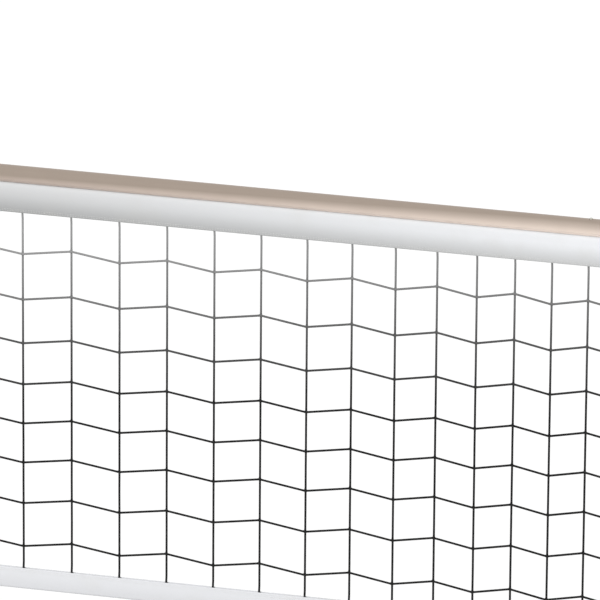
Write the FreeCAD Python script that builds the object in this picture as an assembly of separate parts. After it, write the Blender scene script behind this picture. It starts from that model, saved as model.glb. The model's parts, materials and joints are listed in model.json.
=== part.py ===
import FreeCAD, Part
import math
import os

# A free-standing volleyball net for a short court, hung on two poles and a top pole.
# Each upright telescopes out of a weighted steel base, and a quick-release clamp holds its height.
# The net's white head band hangs from a groove along the underside of the round brown top pole.
# Frame: X along the net, Y through it, Z up, origin on the floor midway between the uprights.
# All sizes are millimetres.

Vector = FreeCAD.Vector
X_AXIS = Vector(1, 0, 0)
Y_AXIS = Vector(0, 1, 0)
Z_AXIS = Vector(0, 0, 1)

# The whole set
net_top = 2430.0            # top of the pole above the floor, the height for men's play
net_height = 1000.0         # from the top of the pole to the foot of the net
post_spacing = 4500.0       # between the centres of the uprights
seam_gap = 0.3              # between soft pieces and what they hang on or lie against

# The top pole, an extrusion with a groove for the band's corded edge
pole_diameter = 38.0
pole_wall = 1.8
pole_sections = 3
groove_diameter = 8.2
groove_wall = 1.4
groove_lip = 1.2
groove_slot = 3.8

# The couplers between pole sections, with a sprung button at one end and rivets at the other
plug_clearance = 0.3
coupler_length = 150.0
coupler_wall = 2.5
button_diameter = 8.0
button_clearance = 0.1
button_proud = 2.5
button_flange = 1.5
button_inset = 38.0
spring_thickness = 0.6
spring_leg = 24.0
rivet_diameter = 4.0
rivet_head = 7.0
rivet_head_height = 1.4
rivet_tail = 1.0
rivet_inset = 30.0

# The net's cords
mesh_size = 100.0
cord_diameter = 5.0
cord_sides = 6
knot_drop = 16.5            # every other upright cord carries its knots this much lower
mesh_drift = 70.0           # how far the slack meshes have slid along the pole
mesh_slip = 6.0             # and how far single meshes have slipped on top of that,
slip_length = 1140.0        # in waves of this length
slip_start = 75.0
row_sag = 10.0              # how far the middle rows have crept down the upright cords,
sag_rows = 4.0              # over this many rows
first_row_gap = 80.0        # from the head band to the first level cord
column_margin = 60.0        # least room between the net's edge and an upright

# The bands, two-fold canvas
top_band_height = 70.0
top_band_thickness = 18.0
bottom_band_height = 50.0
bottom_band_thickness = 13.0
band_edge = 6.0
band_panels = 6             # flat panels that stand for each bowed side of a band
bead_diameter = 7.0
web_thickness = 2.4
bolt_rope_diameter = 4.8
foot_rope_diameter = 8.0
side_band_width = 50.0
dowel_diameter = 12.0
pocket_wall = 1.5
rope_clearance = 0.2
dowel_shortfall = 3.0       # the dowel ends this far inside its pocket

# The webbing straps that tie the net's ends to the uprights
strap_count = 4
strap_width = 25.0
strap_thickness = 2.0
strap_tail = 14.0           # sewn to each face of the side band
strap_margin = 30.0         # from the head and foot bands to the end straps' middles

# The uprights
upper_tube_diameter = 42.0
upper_tube_wall = 2.0
lower_tube_wall = 2.0
lower_tube_top = 950.0
insertion = 200.0           # how much of the upper tube stays in the lower one at full height
slide_clearance = 0.1
bush_wall = 1.8
bush_seat = 0.1
bush_length = 60.0
bush_flange = 2.0
guide_length = 22.0
guide_spigot = 30.0
guide_clearance = 0.3
guide_bore = 20.0
squeeze_slot = 3.0

# The corner joints on the uprights
joint_diameter = 52.0
joint_rise = 5.0
joint_depth = 92.0
joint_bore_depth = 50.0
joint_clearance = 0.15
joint_round = 5.0
joint_bead = 2.0            # how far the thickened mouth stands out
joint_bead_height = 10.0
joint_bead_chamfer = 1.5
collar_diameter = 44.0
collar_reach = 30.0
collar_chamfer = 1.5
spigot_length = 60.0
screw_diameter = 6.0
screw_head_diameter = 10.5
screw_head_height = 3.3
screw_hole_play = 0.4

# The quick-release clamps
clamp_wall = 6.0
clamp_height = 56.0
clamp_lip = 5.0
clamp_seat = 0.1
clamp_lip_play = 0.6
clamp_slot = 4.0
clamp_rim = 9.0             # the thicker rings at the collar's ends
clamp_waist = 1.5           # and how far it is waisted between them
clamp_chamfer = 1.5
ear_thickness = 9.0
ear_reach = 27.0
ear_height = 36.0
ear_round = 8.0
skewer_diameter = 6.0
skewer_play = 0.4
trunnion_diameter = 13.0
trunnion_width = 8.0
pin_diameter = 5.0
cam_diameter = 20.0
cam_throw = 1.2
cam_gap = 0.3
lever_width = 18.0
lever_length = 82.0
lever_root = 9.0
lever_tip = 5.0
lever_tip_round = 7.0
lever_chamfer = 1.2
lever_slot_play = 0.6
pin_play = 0.1
clamp_nut_width = 10.0
clamp_nut_height = 6.0
skewer_end = 2.0

# The weighted bases
base_depth = 900.0
base_inner = 150.0          # from the upright to the edge on the net's side
base_outer = 250.0          # from the upright to the outer edge
plate_thickness = 8.0
plate_corner = 30.0
pad_height = 14.0
pad_width = 40.0
pad_inset = 45.0
pad_side_inset = 20.0
pad_chamfer = 3.0
anchor_hole_diameter = 14.0
anchor_inset = 25.0
socket_wall = 4.0
socket_height = 220.0
socket_clearance = 0.25
socket_chamfer = 1.5
gusset_thickness = 6.0
gusset_reach = 88.0
gusset_height = 150.0
gusset_toe = 14.0
socket_bolt_diameter = 10.0
socket_bolt_play = 0.6
socket_bolt_drop = 28.0
hex_width = 17.0
hex_head_height = 6.4
hex_nut_height = 8.4
bolt_end = 3.0
hex_land = 0.4              # from the flats to the round face left by a head's corner cone
hex_cone_angle = 30.0

# The ballast, cast-iron blocks stacked on a stud and held by a knob
block_length = 300.0
block_width = 220.0
block_thickness = 30.0
blocks_per_stack = 2
block_corner = 20.0
block_chamfer = 2.5
block_rim = 16.0
block_pocket = 4.0
boss_diameter = 64.0
block_offset_x = 40.0
block_offset_y = 262.0
handle_width = 100.0
handle_depth = 18.0
stud_diameter = 14.0
stud_play = 1.0
stud_end = 3.0
knob_diameter = 50.0
knob_lobes = 5
knob_lobe_diameter = 17.0
knob_height = 20.0
knob_taper = 2.5            # how far its lobes lean in above their middle, and out below
knob_cap_diameter = 24.0
knob_cap_height = 3.0
knob_hub_diameter = 26.0
knob_hub_height = 4.0
knob_play = 0.1
knob_gap = 0.3

# The transport wheels, clear of the floor until the base is tipped
wheel_diameter = 80.0
wheel_width = 28.0
wheel_lift = 2.0
tread_groove = 1.6
wheel_offset_y = 300.0
rim_diameter = 56.0
rim_web = 8.0
rim_hole_diameter = 9.0
rim_holes = 5
hub_diameter = 22.0
rim_wall = 4.0
wheel_play = 4.0
axle_diameter = 10.0
axle_play = 0.1
axle_head_diameter = 18.0
axle_head_height = 4.0
wheel_ear_thickness = 5.0
wheel_ear_length = 54.0

# Heights and places worked out from the sizes above
pole_radius = pole_diameter / 2
pole_axis_z = net_top - pole_radius
groove_centre = -(pole_radius - groove_diameter / 2 - groove_lip)
plug_flat = groove_centre + groove_diameter / 2 + groove_wall + plug_clearance
plug_radius = pole_radius - pole_wall - plug_clearance
pole_half = post_spacing / 2 - collar_reach
section_length = 2 * pole_half / pole_sections

column_pairs = math.floor(
    (post_spacing - upper_tube_diameter - 2 * (side_band_width + column_margin)) / (2 * mesh_size)
)
mesh_half = column_pairs * mesh_size
net_half = mesh_half + side_band_width
head_top = net_top - pole_diameter - seam_gap
head_foot = head_top - top_band_height
net_foot = net_top - net_height
foot_band_top = net_foot + bottom_band_height
first_row = head_foot - first_row_gap
row_count = 1 + math.floor((first_row - knot_drop - foot_band_top - cord_diameter) / mesh_size)

lower_tube_inner = upper_tube_diameter + 2 * (slide_clearance + bush_wall + bush_seat)
lower_tube_diameter = lower_tube_inner + 2 * lower_tube_wall
upper_tube_inner = upper_tube_diameter - 2 * upper_tube_wall
upper_tube_foot = lower_tube_top - insertion
joint_foot = net_top + joint_rise - joint_depth
upper_tube_top = joint_foot + joint_bore_depth

plate_top = pad_height + plate_thickness
socket_bore = lower_tube_diameter + 2 * socket_clearance
socket_diameter = socket_bore + 2 * socket_wall
socket_top = plate_top + socket_height
socket_bolt_z = socket_top - socket_bolt_drop

clamp_bore = lower_tube_diameter + 2 * clamp_seat
clamp_radius = clamp_bore / 2 + clamp_wall
clamp_top = lower_tube_top + bush_flange + clamp_lip
clamp_foot = clamp_top - clamp_height
clamp_middle = (clamp_top + clamp_foot) / 2
ear_face = clamp_slot / 2 + ear_thickness
skewer_x = clamp_radius + ear_reach / 2
cam_reach = cam_diameter / 2 + cam_throw + cam_gap
pivot_y = -(ear_face + cam_reach)

stack_top = plate_top + blocks_per_stack * block_thickness
wheel_x = base_outer
wheel_z = wheel_diameter / 2 + wheel_lift


def cylinder(diameter, length, base, axis=Z_AXIS):
    return Part.makeCylinder(diameter / 2, length, base, axis)


def box(low, high):
    size = high - low
    return Part.makeBox(size.x, size.y, size.z, low)


def fused(shapes):
    return shapes[0].multiFuse(shapes[1:]).removeSplitter()


def extruded(points, direction):
    """A closed outline of straight edges, pushed along a direction."""
    outline = Part.makePolygon(points + points[:1])
    return Part.Face(outline).extrude(direction)


def hexagon(width, length, base, axis):
    """A hexagonal prism of that width across its flats, from its base along its axis."""
    circle = Part.Circle(base, axis, width / math.sqrt(3))
    corners = [circle.value(math.radians(60 * i)) for i in range(6)]
    return extruded(corners, axis * length)


def hex_head(width, length, base, axis):
    """A bolt's head or a nut, with the corners of its outer face cut back by a cone."""
    outer = width / 2 - hex_land
    inner = outer + length / math.tan(math.radians(hex_cone_angle))
    return hexagon(width, length, base, axis).common(Part.makeCone(inner, outer, length, base, axis))


def far_rim(shape, base, axis):
    """The round edge of a cylinder or cone at its end away from the base."""
    rims = [e for e in shape.Edges if e.Closed]
    return [max(rims, key=lambda e: (e.CenterOfMass - base).dot(axis))]


def round_head(diameter, height, face, axis):
    """The low round head of a rivet, pin or screw on a face, with its outer rim chamfered."""
    head = cylinder(diameter, height, face, axis)
    return head.makeChamfer(height / 3, far_rim(head, face, axis))


def polygon_round(centre, axis, diameter, sides):
    """A regular polygon's wire that stands for a cord's round section, flat side up."""
    circle = Part.Circle(centre, axis, diameter / 2)
    corners = [circle.value(2 * math.pi * (i + 0.5) / sides) for i in range(sides)]
    return Part.makePolygon(corners + corners[:1])


def rounded_plate(low, high, radius):
    """A flat plate with its upright corners rounded."""
    plate = box(low, high)
    upright = [e for e in plate.Edges if abs(e.tangentAt(e.FirstParameter).z) > 0.99]
    return plate.makeFillet(radius, upright)


def placed(shape, side):
    """A piece drawn about the right upright's centre line, outward along +X, set on its own upright."""
    if side == "left":
        shape = shape.mirror(Vector(0, 0, 0), X_AXIS)
        return shape.translated(Vector(-post_spacing / 2, 0, 0))
    return shape.translated(Vector(post_spacing / 2, 0, 0))


def save(name, *shapes):
    shape = shapes[0] if len(shapes) == 1 else Part.makeCompound(list(shapes))
    shape.exportStep(os.path.join("parts", name + ".step"))


def save_both(name, make):
    """One named piece on each upright."""
    for side in ("left", "right"):
        save(f"{name}_{side}", placed(make(), side))


# The weighted base

def wheel_ear(y):
    """One of the two upright lugs that carry a wheel's axle beyond the plate's edge."""
    axle = Vector(wheel_x, y, wheel_z)
    back = wheel_x - wheel_ear_length
    nose = axle_diameter
    lug = extruded(
        [
            Vector(back, y, plate_top),
            Vector(wheel_x, y, plate_top),
            Vector(wheel_x + nose, y, wheel_z - nose / 2),
            Vector(wheel_x + nose, y, wheel_z + nose / 2),
            Vector(wheel_x + nose / 2, y, wheel_z + nose),
            Vector(wheel_x - nose, y, wheel_z + nose),
        ],
        Y_AXIS * wheel_ear_thickness,
    )
    return lug.cut(cylinder(axle_diameter + 2 * axle_play, wheel_ear_thickness, axle, Y_AXIS))


def wheel_places():
    return (-wheel_offset_y, wheel_offset_y)


def stack_places():
    return (-block_offset_y, block_offset_y)


def base_plate():
    plate = rounded_plate(
        Vector(-base_inner, -base_depth / 2, pad_height),
        Vector(base_outer, base_depth / 2, plate_top),
        plate_corner,
    )
    for x in (-base_inner + anchor_inset, base_outer - anchor_inset):
        for y in (-base_depth / 2 + anchor_inset, base_depth / 2 - anchor_inset):
            plate = plate.cut(cylinder(anchor_hole_diameter, plate_thickness, Vector(x, y, pad_height)))
    notch_x = wheel_x - wheel_diameter / 2 - wheel_play
    notch_half = wheel_width / 2 + wheel_play
    for y in wheel_places():
        plate = plate.cut(
            box(
                Vector(notch_x, y - notch_half, pad_height),
                Vector(base_outer, y + notch_half, plate_top),
            )
        )
    return plate


def gusset(angle):
    root = socket_diameter / 2 - socket_wall / 2
    reach = socket_diameter / 2 + gusset_reach
    half = gusset_thickness / 2
    web = extruded(
        [
            Vector(root, -half, plate_top),
            Vector(reach, -half, plate_top),
            Vector(reach, -half, plate_top + gusset_toe),
            Vector(socket_diameter / 2 + gusset_toe, -half, plate_top + gusset_height),
            Vector(root, -half, plate_top + gusset_height),
        ],
        Y_AXIS * gusset_thickness,
    )
    return web.rotated(Vector(0, 0, 0), Z_AXIS, angle)


def base_frame():
    """The welded base: plate, post socket, gussets, ballast studs and wheel lugs."""
    socket_foot = Vector(0, 0, plate_top)
    socket = cylinder(socket_diameter, socket_height, socket_foot)
    socket = socket.makeChamfer(socket_chamfer, far_rim(socket, socket_foot, Z_AXIS))
    pieces = [base_plate(), socket]
    pieces += [gusset(angle) for angle in (0, 90, 180, 270)]
    stud_length = stack_top - plate_top + knob_gap + knob_hub_height + knob_height + stud_end
    for y in stack_places():
        pieces.append(cylinder(stud_diameter, stud_length, Vector(block_offset_x, y, plate_top)))
    # The lugs stand where the plate is whole, on both sides of each wheel's notch.
    for y in wheel_places():
        lug_face = wheel_width / 2 + wheel_play
        pieces += [wheel_ear(y + lug_face), wheel_ear(y - lug_face - wheel_ear_thickness)]
    frame = fused(pieces)
    frame = frame.cut(cylinder(socket_bore, socket_height, socket_foot))
    hole = socket_bolt_diameter + socket_bolt_play
    return frame.cut(cylinder(hole, socket_diameter, Vector(0, -socket_diameter / 2, socket_bolt_z), Y_AXIS))


def floor_pads():
    """The rubber strips under the plate, with their lower edges chamfered."""
    low_x = -base_inner + pad_side_inset
    high_x = base_outer - pad_side_inset
    pads = []
    for side in (-1, 1):
        near = side * (base_depth / 2 - pad_inset)
        far = near - side * pad_width
        low_y, high_y = min(near, far), max(near, far)
        outline = [
            Vector(low_x, low_y + pad_chamfer, 0),
            Vector(low_x, high_y - pad_chamfer, 0),
            Vector(low_x, high_y, pad_chamfer),
            Vector(low_x, high_y, pad_height),
            Vector(low_x, low_y, pad_height),
            Vector(low_x, low_y, pad_chamfer),
        ]
        pads.append(extruded(outline, X_AXIS * (high_x - low_x)))
    return Part.makeCompound(pads)


def socket_bolt():
    """The hex bolt that pins the lower tube in its socket, from the front."""
    shank = socket_diameter + hex_nut_height + bolt_end
    face = Vector(0, -socket_diameter / 2, socket_bolt_z)
    head = hex_head(hex_width, hex_head_height, face, -Y_AXIS)
    return head.fuse(cylinder(socket_bolt_diameter, shank, face, Y_AXIS))


def socket_nut():
    face = Vector(0, socket_diameter / 2, socket_bolt_z)
    nut = hex_head(hex_width, hex_nut_height, face, Y_AXIS)
    return nut.cut(cylinder(socket_bolt_diameter, hex_nut_height, face, Y_AXIS))


# The ballast

def ballast_block(z, y):
    """A cast block with a rim round its shallow pocket, hand holds at its ends and a boss for the stud."""
    centre = Vector(block_offset_x, y, z)
    half = Vector(block_length / 2, block_width / 2, 0)
    block = rounded_plate(centre - half, centre + half + Z_AXIS * block_thickness, block_corner)
    level = [e for e in block.Edges if abs(e.tangentAt(e.FirstParameter).z) < 0.01]
    block = block.makeChamfer(block_chamfer, level)
    inner = half - Vector(block_rim + handle_depth, block_rim, 0)
    floor = Z_AXIS * (block_thickness - block_pocket)
    pocket = rounded_plate(
        centre - inner + floor,
        centre + inner + Z_AXIS * block_thickness,
        block_corner / 2,
    )
    pocket = pocket.cut(cylinder(boss_diameter, block_thickness, centre))
    block = block.cut(pocket)
    for side in (-1, 1):
        edge = block_offset_x + side * block_length / 2
        notch = rounded_plate(
            Vector(edge - handle_depth, y - handle_width / 2, z),
            Vector(edge + handle_depth, y + handle_width / 2, z + block_thickness),
            handle_depth / 2,
        )
        block = block.cut(notch)
    return block.cut(cylinder(stud_diameter + 2 * stud_play, block_thickness, centre))


def ballast_blocks():
    return Part.makeCompound(
        [
            ballast_block(plate_top + i * block_thickness, y)
            for y in stack_places()
            for i in range(blocks_per_stack)
        ]
    )


def ballast_knob(y):
    """The lobed knob that clamps a stack of blocks on its stud, tapered upwards round a raised cap."""
    foot = Vector(block_offset_x, y, stack_top + knob_gap)
    grip = foot + Z_AXIS * knob_hub_height
    grip_height = knob_height - knob_cap_height
    lobe_circle = (knob_diameter - knob_lobe_diameter) / 2
    lobes = [cylinder(2 * lobe_circle, grip_height, grip)]
    for i in range(knob_lobes):
        angle = 2 * math.pi * i / knob_lobes
        offset = Vector(lobe_circle * math.cos(angle), lobe_circle * math.sin(angle), 0)
        lobes.append(cylinder(knob_lobe_diameter, grip_height, grip + offset))
    widest = knob_diameter / 2 + knob_taper
    narrowest = knob_diameter / 2 - knob_taper
    star = fused(lobes).common(Part.makeCone(widest, narrowest, grip_height, grip, Z_AXIS))
    hub = cylinder(knob_hub_diameter, knob_hub_height, foot)
    cap = cylinder(knob_cap_diameter, knob_cap_height, grip + Z_AXIS * grip_height)
    knob = fused([star, hub, cap])
    bore = stud_diameter + 2 * knob_play
    return knob.cut(cylinder(bore, knob_hub_height + knob_height, foot))


# The transport wheels

def wheel_rim(y):
    """The moulded rim: a rim ring and a hub joined by a thin web with round holes."""
    half = wheel_width / 2
    profile = [
        (axle_diameter / 2 + axle_play, -half),
        (hub_diameter / 2, -half),
        (hub_diameter / 2, -rim_web / 2),
        (rim_diameter / 2 - rim_wall, -rim_web / 2),
        (rim_diameter / 2 - rim_wall, -half + rim_wall / 2),
        (rim_diameter / 2, -half + rim_wall / 2),
        (rim_diameter / 2, half - rim_wall / 2),
        (rim_diameter / 2 - rim_wall, half - rim_wall / 2),
        (rim_diameter / 2 - rim_wall, rim_web / 2),
        (hub_diameter / 2, rim_web / 2),
        (hub_diameter / 2, half),
        (axle_diameter / 2 + axle_play, half),
    ]
    rim = wheel_turned(profile, y)
    axle = Vector(wheel_x, y - half, wheel_z)
    hole_circle = (hub_diameter / 2 + rim_diameter / 2 - rim_wall) / 2
    hole = cylinder(rim_hole_diameter, wheel_width, axle + Z_AXIS * hole_circle, Y_AXIS)
    return rim.cut([hole.rotated(axle, Y_AXIS, 360 * i / rim_holes) for i in range(rim_holes)])


def wheel_tyre(y):
    """The solid tyre, crowned towards the middle of its tread, with a groove each side of it."""
    half = wheel_width / 2 - rim_wall / 2
    crown = wheel_diameter / 2
    shoulder = crown - rim_wall / 2
    tread = half / 3
    groove_foot = crown - tread_groove
    profile = [
        (rim_diameter / 2, -half),
        (shoulder - rim_wall / 2, -half),
        (shoulder, -half + rim_wall / 2),
        (crown, -tread - tread_groove),
        (groove_foot, -tread - tread_groove),
        (groove_foot, -tread),
        (crown, -tread),
        (crown, tread),
        (groove_foot, tread),
        (groove_foot, tread + tread_groove),
        (crown, tread + tread_groove),
        (shoulder, half - rim_wall / 2),
        (shoulder - rim_wall / 2, half),
        (rim_diameter / 2, half),
    ]
    return wheel_turned(profile, y)


def wheel_turned(profile, y):
    """A profile of (radius, width) points turned about the wheel's axle."""
    points = [Vector(wheel_x, y + w, wheel_z + r) for r, w in profile]
    face = Part.Face(Part.makePolygon(points + points[:1]))
    return face.revolve(Vector(wheel_x, y, wheel_z), Y_AXIS, 360)


def wheel_axle(y):
    """A headed pin through both lugs and the wheel's hub."""
    lug = wheel_width / 2 + wheel_play + wheel_ear_thickness
    front = Vector(wheel_x, y - lug, wheel_z)
    back = Vector(wheel_x, y + lug, wheel_z)
    return fused(
        [
            cylinder(axle_diameter, 2 * lug, front, Y_AXIS),
            round_head(axle_head_diameter, axle_head_height, front, -Y_AXIS),
            round_head(axle_head_diameter, axle_head_height, back, Y_AXIS),
        ]
    )


# The uprights

def lower_tube():
    foot = Vector(0, 0, plate_top)
    length = lower_tube_top - plate_top
    tube = cylinder(lower_tube_diameter, length, foot).cut(cylinder(lower_tube_inner, length, foot))
    slit = box(
        Vector(0, -squeeze_slot / 2, clamp_foot),
        Vector(lower_tube_diameter, squeeze_slot / 2, lower_tube_top),
    )
    hole = socket_bolt_diameter + socket_bolt_play
    bolt_way = cylinder(hole, lower_tube_diameter, Vector(0, -lower_tube_diameter / 2, socket_bolt_z), Y_AXIS)
    return tube.cut(slit).cut(bolt_way)


def top_bush():
    """The slit nylon sleeve that the upper tube slides in, with a flange on the lower tube's end."""
    foot = Vector(0, 0, lower_tube_top - bush_length)
    length = bush_length + bush_flange
    sleeve = cylinder(lower_tube_inner - 2 * bush_seat, length, foot)
    flange = cylinder(lower_tube_diameter, bush_flange, Vector(0, 0, lower_tube_top))
    bore = cylinder(upper_tube_diameter + 2 * slide_clearance, length, foot)
    slit = box(
        Vector(0, -squeeze_slot / 2, foot.z),
        Vector(lower_tube_diameter, squeeze_slot / 2, lower_tube_top + bush_flange),
    )
    return sleeve.fuse(flange).cut(bore).cut(slit)


def upper_tube():
    foot = Vector(0, 0, upper_tube_foot)
    length = upper_tube_top - upper_tube_foot
    tube = cylinder(upper_tube_diameter, length, foot).cut(cylinder(upper_tube_inner, length, foot))
    return tube.cut(joint_screw_way())


def guide_plug():
    """The nylon plug in the upper tube's foot, which steadies it inside the lower tube."""
    foot = Vector(0, 0, upper_tube_foot - guide_length)
    flange = cylinder(lower_tube_inner - 2 * guide_clearance, guide_length, foot)
    spigot = cylinder(upper_tube_inner - 2 * bush_seat, guide_length + guide_spigot, foot)
    return flange.fuse(spigot).cut(cylinder(guide_bore, guide_length + guide_spigot, foot))


# The quick-release clamp

def clamp_collar():
    """The cast split collar round the lower tube's end: waisted, with two ears for the skewer."""
    foot = Vector(0, 0, clamp_foot)
    ring = cylinder(2 * clamp_radius, clamp_height, foot)
    ring = ring.makeChamfer(clamp_chamfer, [e for e in ring.Edges if e.Closed])
    waist_foot = foot + Z_AXIS * clamp_rim
    waist_height = clamp_height - 2 * clamp_rim
    waist = cylinder(2 * (clamp_radius - clamp_waist), waist_height, waist_foot)
    ring = ring.cut(cylinder(3 * clamp_radius, waist_height, waist_foot).cut(waist))
    ear_end = clamp_radius + ear_reach
    ears = box(
        Vector(clamp_radius - clamp_wall, -ear_face, clamp_middle - ear_height / 2),
        Vector(ear_end, ear_face, clamp_middle + ear_height / 2),
    )
    outer = [
        e for e in ears.Edges
        if abs(e.tangentAt(e.FirstParameter).y) > 0.99 and e.CenterOfMass.x > ear_end - 1
    ]
    collar = ring.fuse(ears.makeFillet(ear_round, outer))
    seat = clamp_height - clamp_lip
    collar = collar.cut(cylinder(clamp_bore, seat, foot))
    collar = collar.cut(cylinder(upper_tube_diameter + 2 * clamp_lip_play, clamp_height, foot))
    slot = box(
        Vector(0, -clamp_slot / 2, clamp_foot),
        Vector(ear_end, clamp_slot / 2, clamp_top),
    )
    way = cylinder(
        skewer_diameter + skewer_play,
        2 * ear_face,
        Vector(skewer_x, -ear_face, clamp_middle),
        Y_AXIS,
    )
    return collar.cut(slot).cut(way)


def clamp_skewer():
    """The skewer through the ears, with the cross pin that the lever turns on."""
    pivot = Vector(skewer_x, pivot_y, clamp_middle)
    length = ear_face - pivot_y + clamp_nut_height + skewer_end
    rod = cylinder(skewer_diameter, length, pivot, Y_AXIS)
    eye = cylinder(trunnion_diameter, trunnion_width, pivot - X_AXIS * trunnion_width / 2, X_AXIS)
    pin = cylinder(pin_diameter, lever_width, pivot - X_AXIS * lever_width / 2, X_AXIS)
    return fused([rod, eye, pin])


def clamp_nut():
    face = Vector(skewer_x, ear_face, clamp_middle)
    nut = hex_head(clamp_nut_width, clamp_nut_height, face, Y_AXIS)
    return nut.cut(cylinder(skewer_diameter, clamp_nut_height, face, Y_AXIS))


def clamp_lever():
    """The cam lever, closed: a forked eccentric cam with a curved handle that hangs along the post."""
    pivot = Vector(skewer_x, pivot_y, clamp_middle)
    start = pivot - X_AXIS * lever_width / 2
    cam = cylinder(cam_diameter, lever_width, start + Y_AXIS * cam_throw, X_AXIS)
    root_y = start.y + cam_throw
    tip_z = start.z - lever_length
    bow = lever_root
    inner = Part.Arc(
        Vector(start.x, root_y + lever_root, start.z),
        Vector(start.x, root_y + lever_root - bow / 2, (start.z + tip_z) / 2),
        Vector(start.x, root_y - bow / 2, tip_z),
    )
    outer = Part.Arc(
        Vector(start.x, root_y - bow / 2 - lever_tip, tip_z),
        Vector(start.x, root_y - bow / 2, (start.z + tip_z) / 2),
        Vector(start.x, root_y - lever_root, start.z),
    )
    tip = Part.LineSegment(inner.EndPoint, outer.StartPoint)
    root = Part.LineSegment(outer.EndPoint, inner.StartPoint)
    outline = Part.Wire([edge.toShape() for edge in (inner, tip, outer, root)])
    handle = Part.Face(outline).extrude(X_AXIS * lever_width)
    corners = [
        e for e in handle.Edges
        if abs(e.tangentAt(e.FirstParameter).y) > 0.99 and e.CenterOfMass.z < tip_z + 1
    ]
    handle = handle.makeFillet(lever_tip_round, corners)
    handle = handle.makeChamfer(lever_chamfer, [e for e in handle.Edges if e.Length > lever_length / 2])
    slot_half = trunnion_width / 2 + lever_slot_play / 2
    slot_foot = clamp_middle - trunnion_diameter / 2 - lever_slot_play
    fork = box(
        Vector(pivot.x - slot_half, pivot.y - cam_diameter, slot_foot),
        Vector(pivot.x + slot_half, pivot.y + cam_diameter, clamp_middle + cam_diameter),
    )
    bore = cylinder(pin_diameter + 2 * pin_play, lever_width, start, X_AXIS)
    return cam.fuse(handle).cut(fork).cut(bore)


# The corner joint and the top pole

def plug_face(x, shrink=0.0):
    """The pole's flat-footed inner outline, less a clearance, as a face across the pole."""
    radius = plug_radius - shrink
    flat = plug_flat + shrink
    half_chord = math.sqrt(radius ** 2 - flat ** 2)
    left = Vector(x, -half_chord, pole_axis_z + flat)
    right = Vector(x, half_chord, pole_axis_z + flat)
    crown = Part.Arc(left, Vector(x, 0, pole_axis_z + radius), right).toShape()
    chord = Part.LineSegment(right, left).toShape()
    return Part.Face(Part.Wire([crown, chord]))


def joint_screw_way():
    """The hole for the screw that holds the upper tube in its corner joint, from behind."""
    z = joint_foot + joint_bore_depth / 2
    return cylinder(screw_diameter + screw_hole_play, joint_diameter, Vector(0, 0, z), Y_AXIS)


def pole_screw_way():
    """The hole for the screw that holds the pole on the corner joint's spigot, from behind."""
    x = -collar_reach - spigot_length / 2
    return cylinder(screw_diameter + screw_hole_play, pole_diameter, Vector(x, 0, pole_axis_z), Y_AXIS)


def corner_joint():
    """The cast corner: a socket with a thickened mouth on the upper tube, and a spigot for the top pole."""
    foot = Vector(0, 0, joint_foot)
    body = cylinder(joint_diameter, joint_depth, foot)
    body = body.makeFillet(joint_round, far_rim(body, foot, Z_AXIS))
    bead = cylinder(joint_diameter + 2 * joint_bead, joint_bead_height, foot)
    bead = bead.makeChamfer(joint_bead_chamfer, [e for e in bead.Edges if e.Closed])
    axis = Vector(0, 0, pole_axis_z)
    collar = cylinder(collar_diameter, collar_reach, axis, -X_AXIS)
    collar = collar.makeChamfer(collar_chamfer, far_rim(collar, axis, -X_AXIS))
    spigot_end = -collar_reach - spigot_length
    spigot = plug_face(spigot_end).extrude(X_AXIS * (spigot_length + collar_reach))
    joint = fused([body, bead, collar, spigot])
    bore = cylinder(upper_tube_diameter + 2 * joint_clearance, joint_bore_depth, foot)
    return joint.cut(bore).cut(joint_screw_way()).cut(pole_screw_way())


def corner_screws():
    """The two button-head screws behind a corner joint."""
    tube_z = joint_foot + joint_bore_depth / 2
    spots = [
        (Vector(0, joint_diameter / 2, tube_z), joint_diameter / 2 - upper_tube_inner / 2 + upper_tube_wall),
        (Vector(-collar_reach - spigot_length / 2, pole_radius, pole_axis_z), pole_radius),
    ]
    screws = []
    for face, depth in spots:
        shank = cylinder(screw_diameter, depth, face, -Y_AXIS)
        screws.append(shank.fuse(round_head(screw_head_diameter, screw_head_height, face, Y_AXIS)))
    return Part.makeCompound(screws)


def pole_profile(x):
    """The extrusion's section: a round tube with a corded-edge groove open along its underside."""
    axis = Vector(x, 0, pole_axis_z)
    groove = axis + Z_AXIS * groove_centre

    def disc(centre, diameter):
        return Part.Face(Part.Wire(Part.Circle(centre, X_AXIS, diameter / 2).toShape()))

    half_slot = groove_slot / 2
    slot = Part.Face(
        Part.makePolygon(
            [
                groove + Y_AXIS * half_slot,
                groove - Y_AXIS * half_slot,
                groove - Y_AXIS * half_slot - Z_AXIS * pole_radius,
                groove + Y_AXIS * half_slot - Z_AXIS * pole_radius,
                groove + Y_AXIS * half_slot,
            ]
        )
    )
    tube = disc(axis, pole_diameter).cut(disc(axis, pole_diameter - 2 * pole_wall))
    boss = disc(groove, groove_diameter + 2 * groove_wall).common(disc(axis, pole_diameter))
    section = tube.fuse(boss).removeSplitter()
    return section.cut(disc(groove, groove_diameter)).cut(slot)


def seam_places():
    """Where one pole section meets the next."""
    return [-pole_half + section_length * i for i in range(1, pole_sections)]


def outward(seam):
    return 1 if seam > 0 else -1


def button_way(seam):
    x = seam - outward(seam) * button_inset
    return cylinder(button_diameter + 2 * button_clearance, pole_radius, Vector(x, 0, pole_axis_z))


def rivet_places(seam):
    near = seam + outward(seam) * rivet_inset
    return [near, near + outward(seam) * rivet_inset]


def rivet_ways(seam):
    return [
        cylinder(rivet_diameter, pole_radius, Vector(x, 0, pole_axis_z), Y_AXIS)
        for x in rivet_places(seam)
    ]


def pole_section(index):
    start = -pole_half + section_length * index
    pole = fused(pole_profile(start).extrude(X_AXIS * section_length).Solids)
    for seam in seam_places():
        pole = pole.cut([button_way(seam), *rivet_ways(seam)])
    return pole.cut([placed(pole_screw_way(), side) for side in ("left", "right")])


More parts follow.
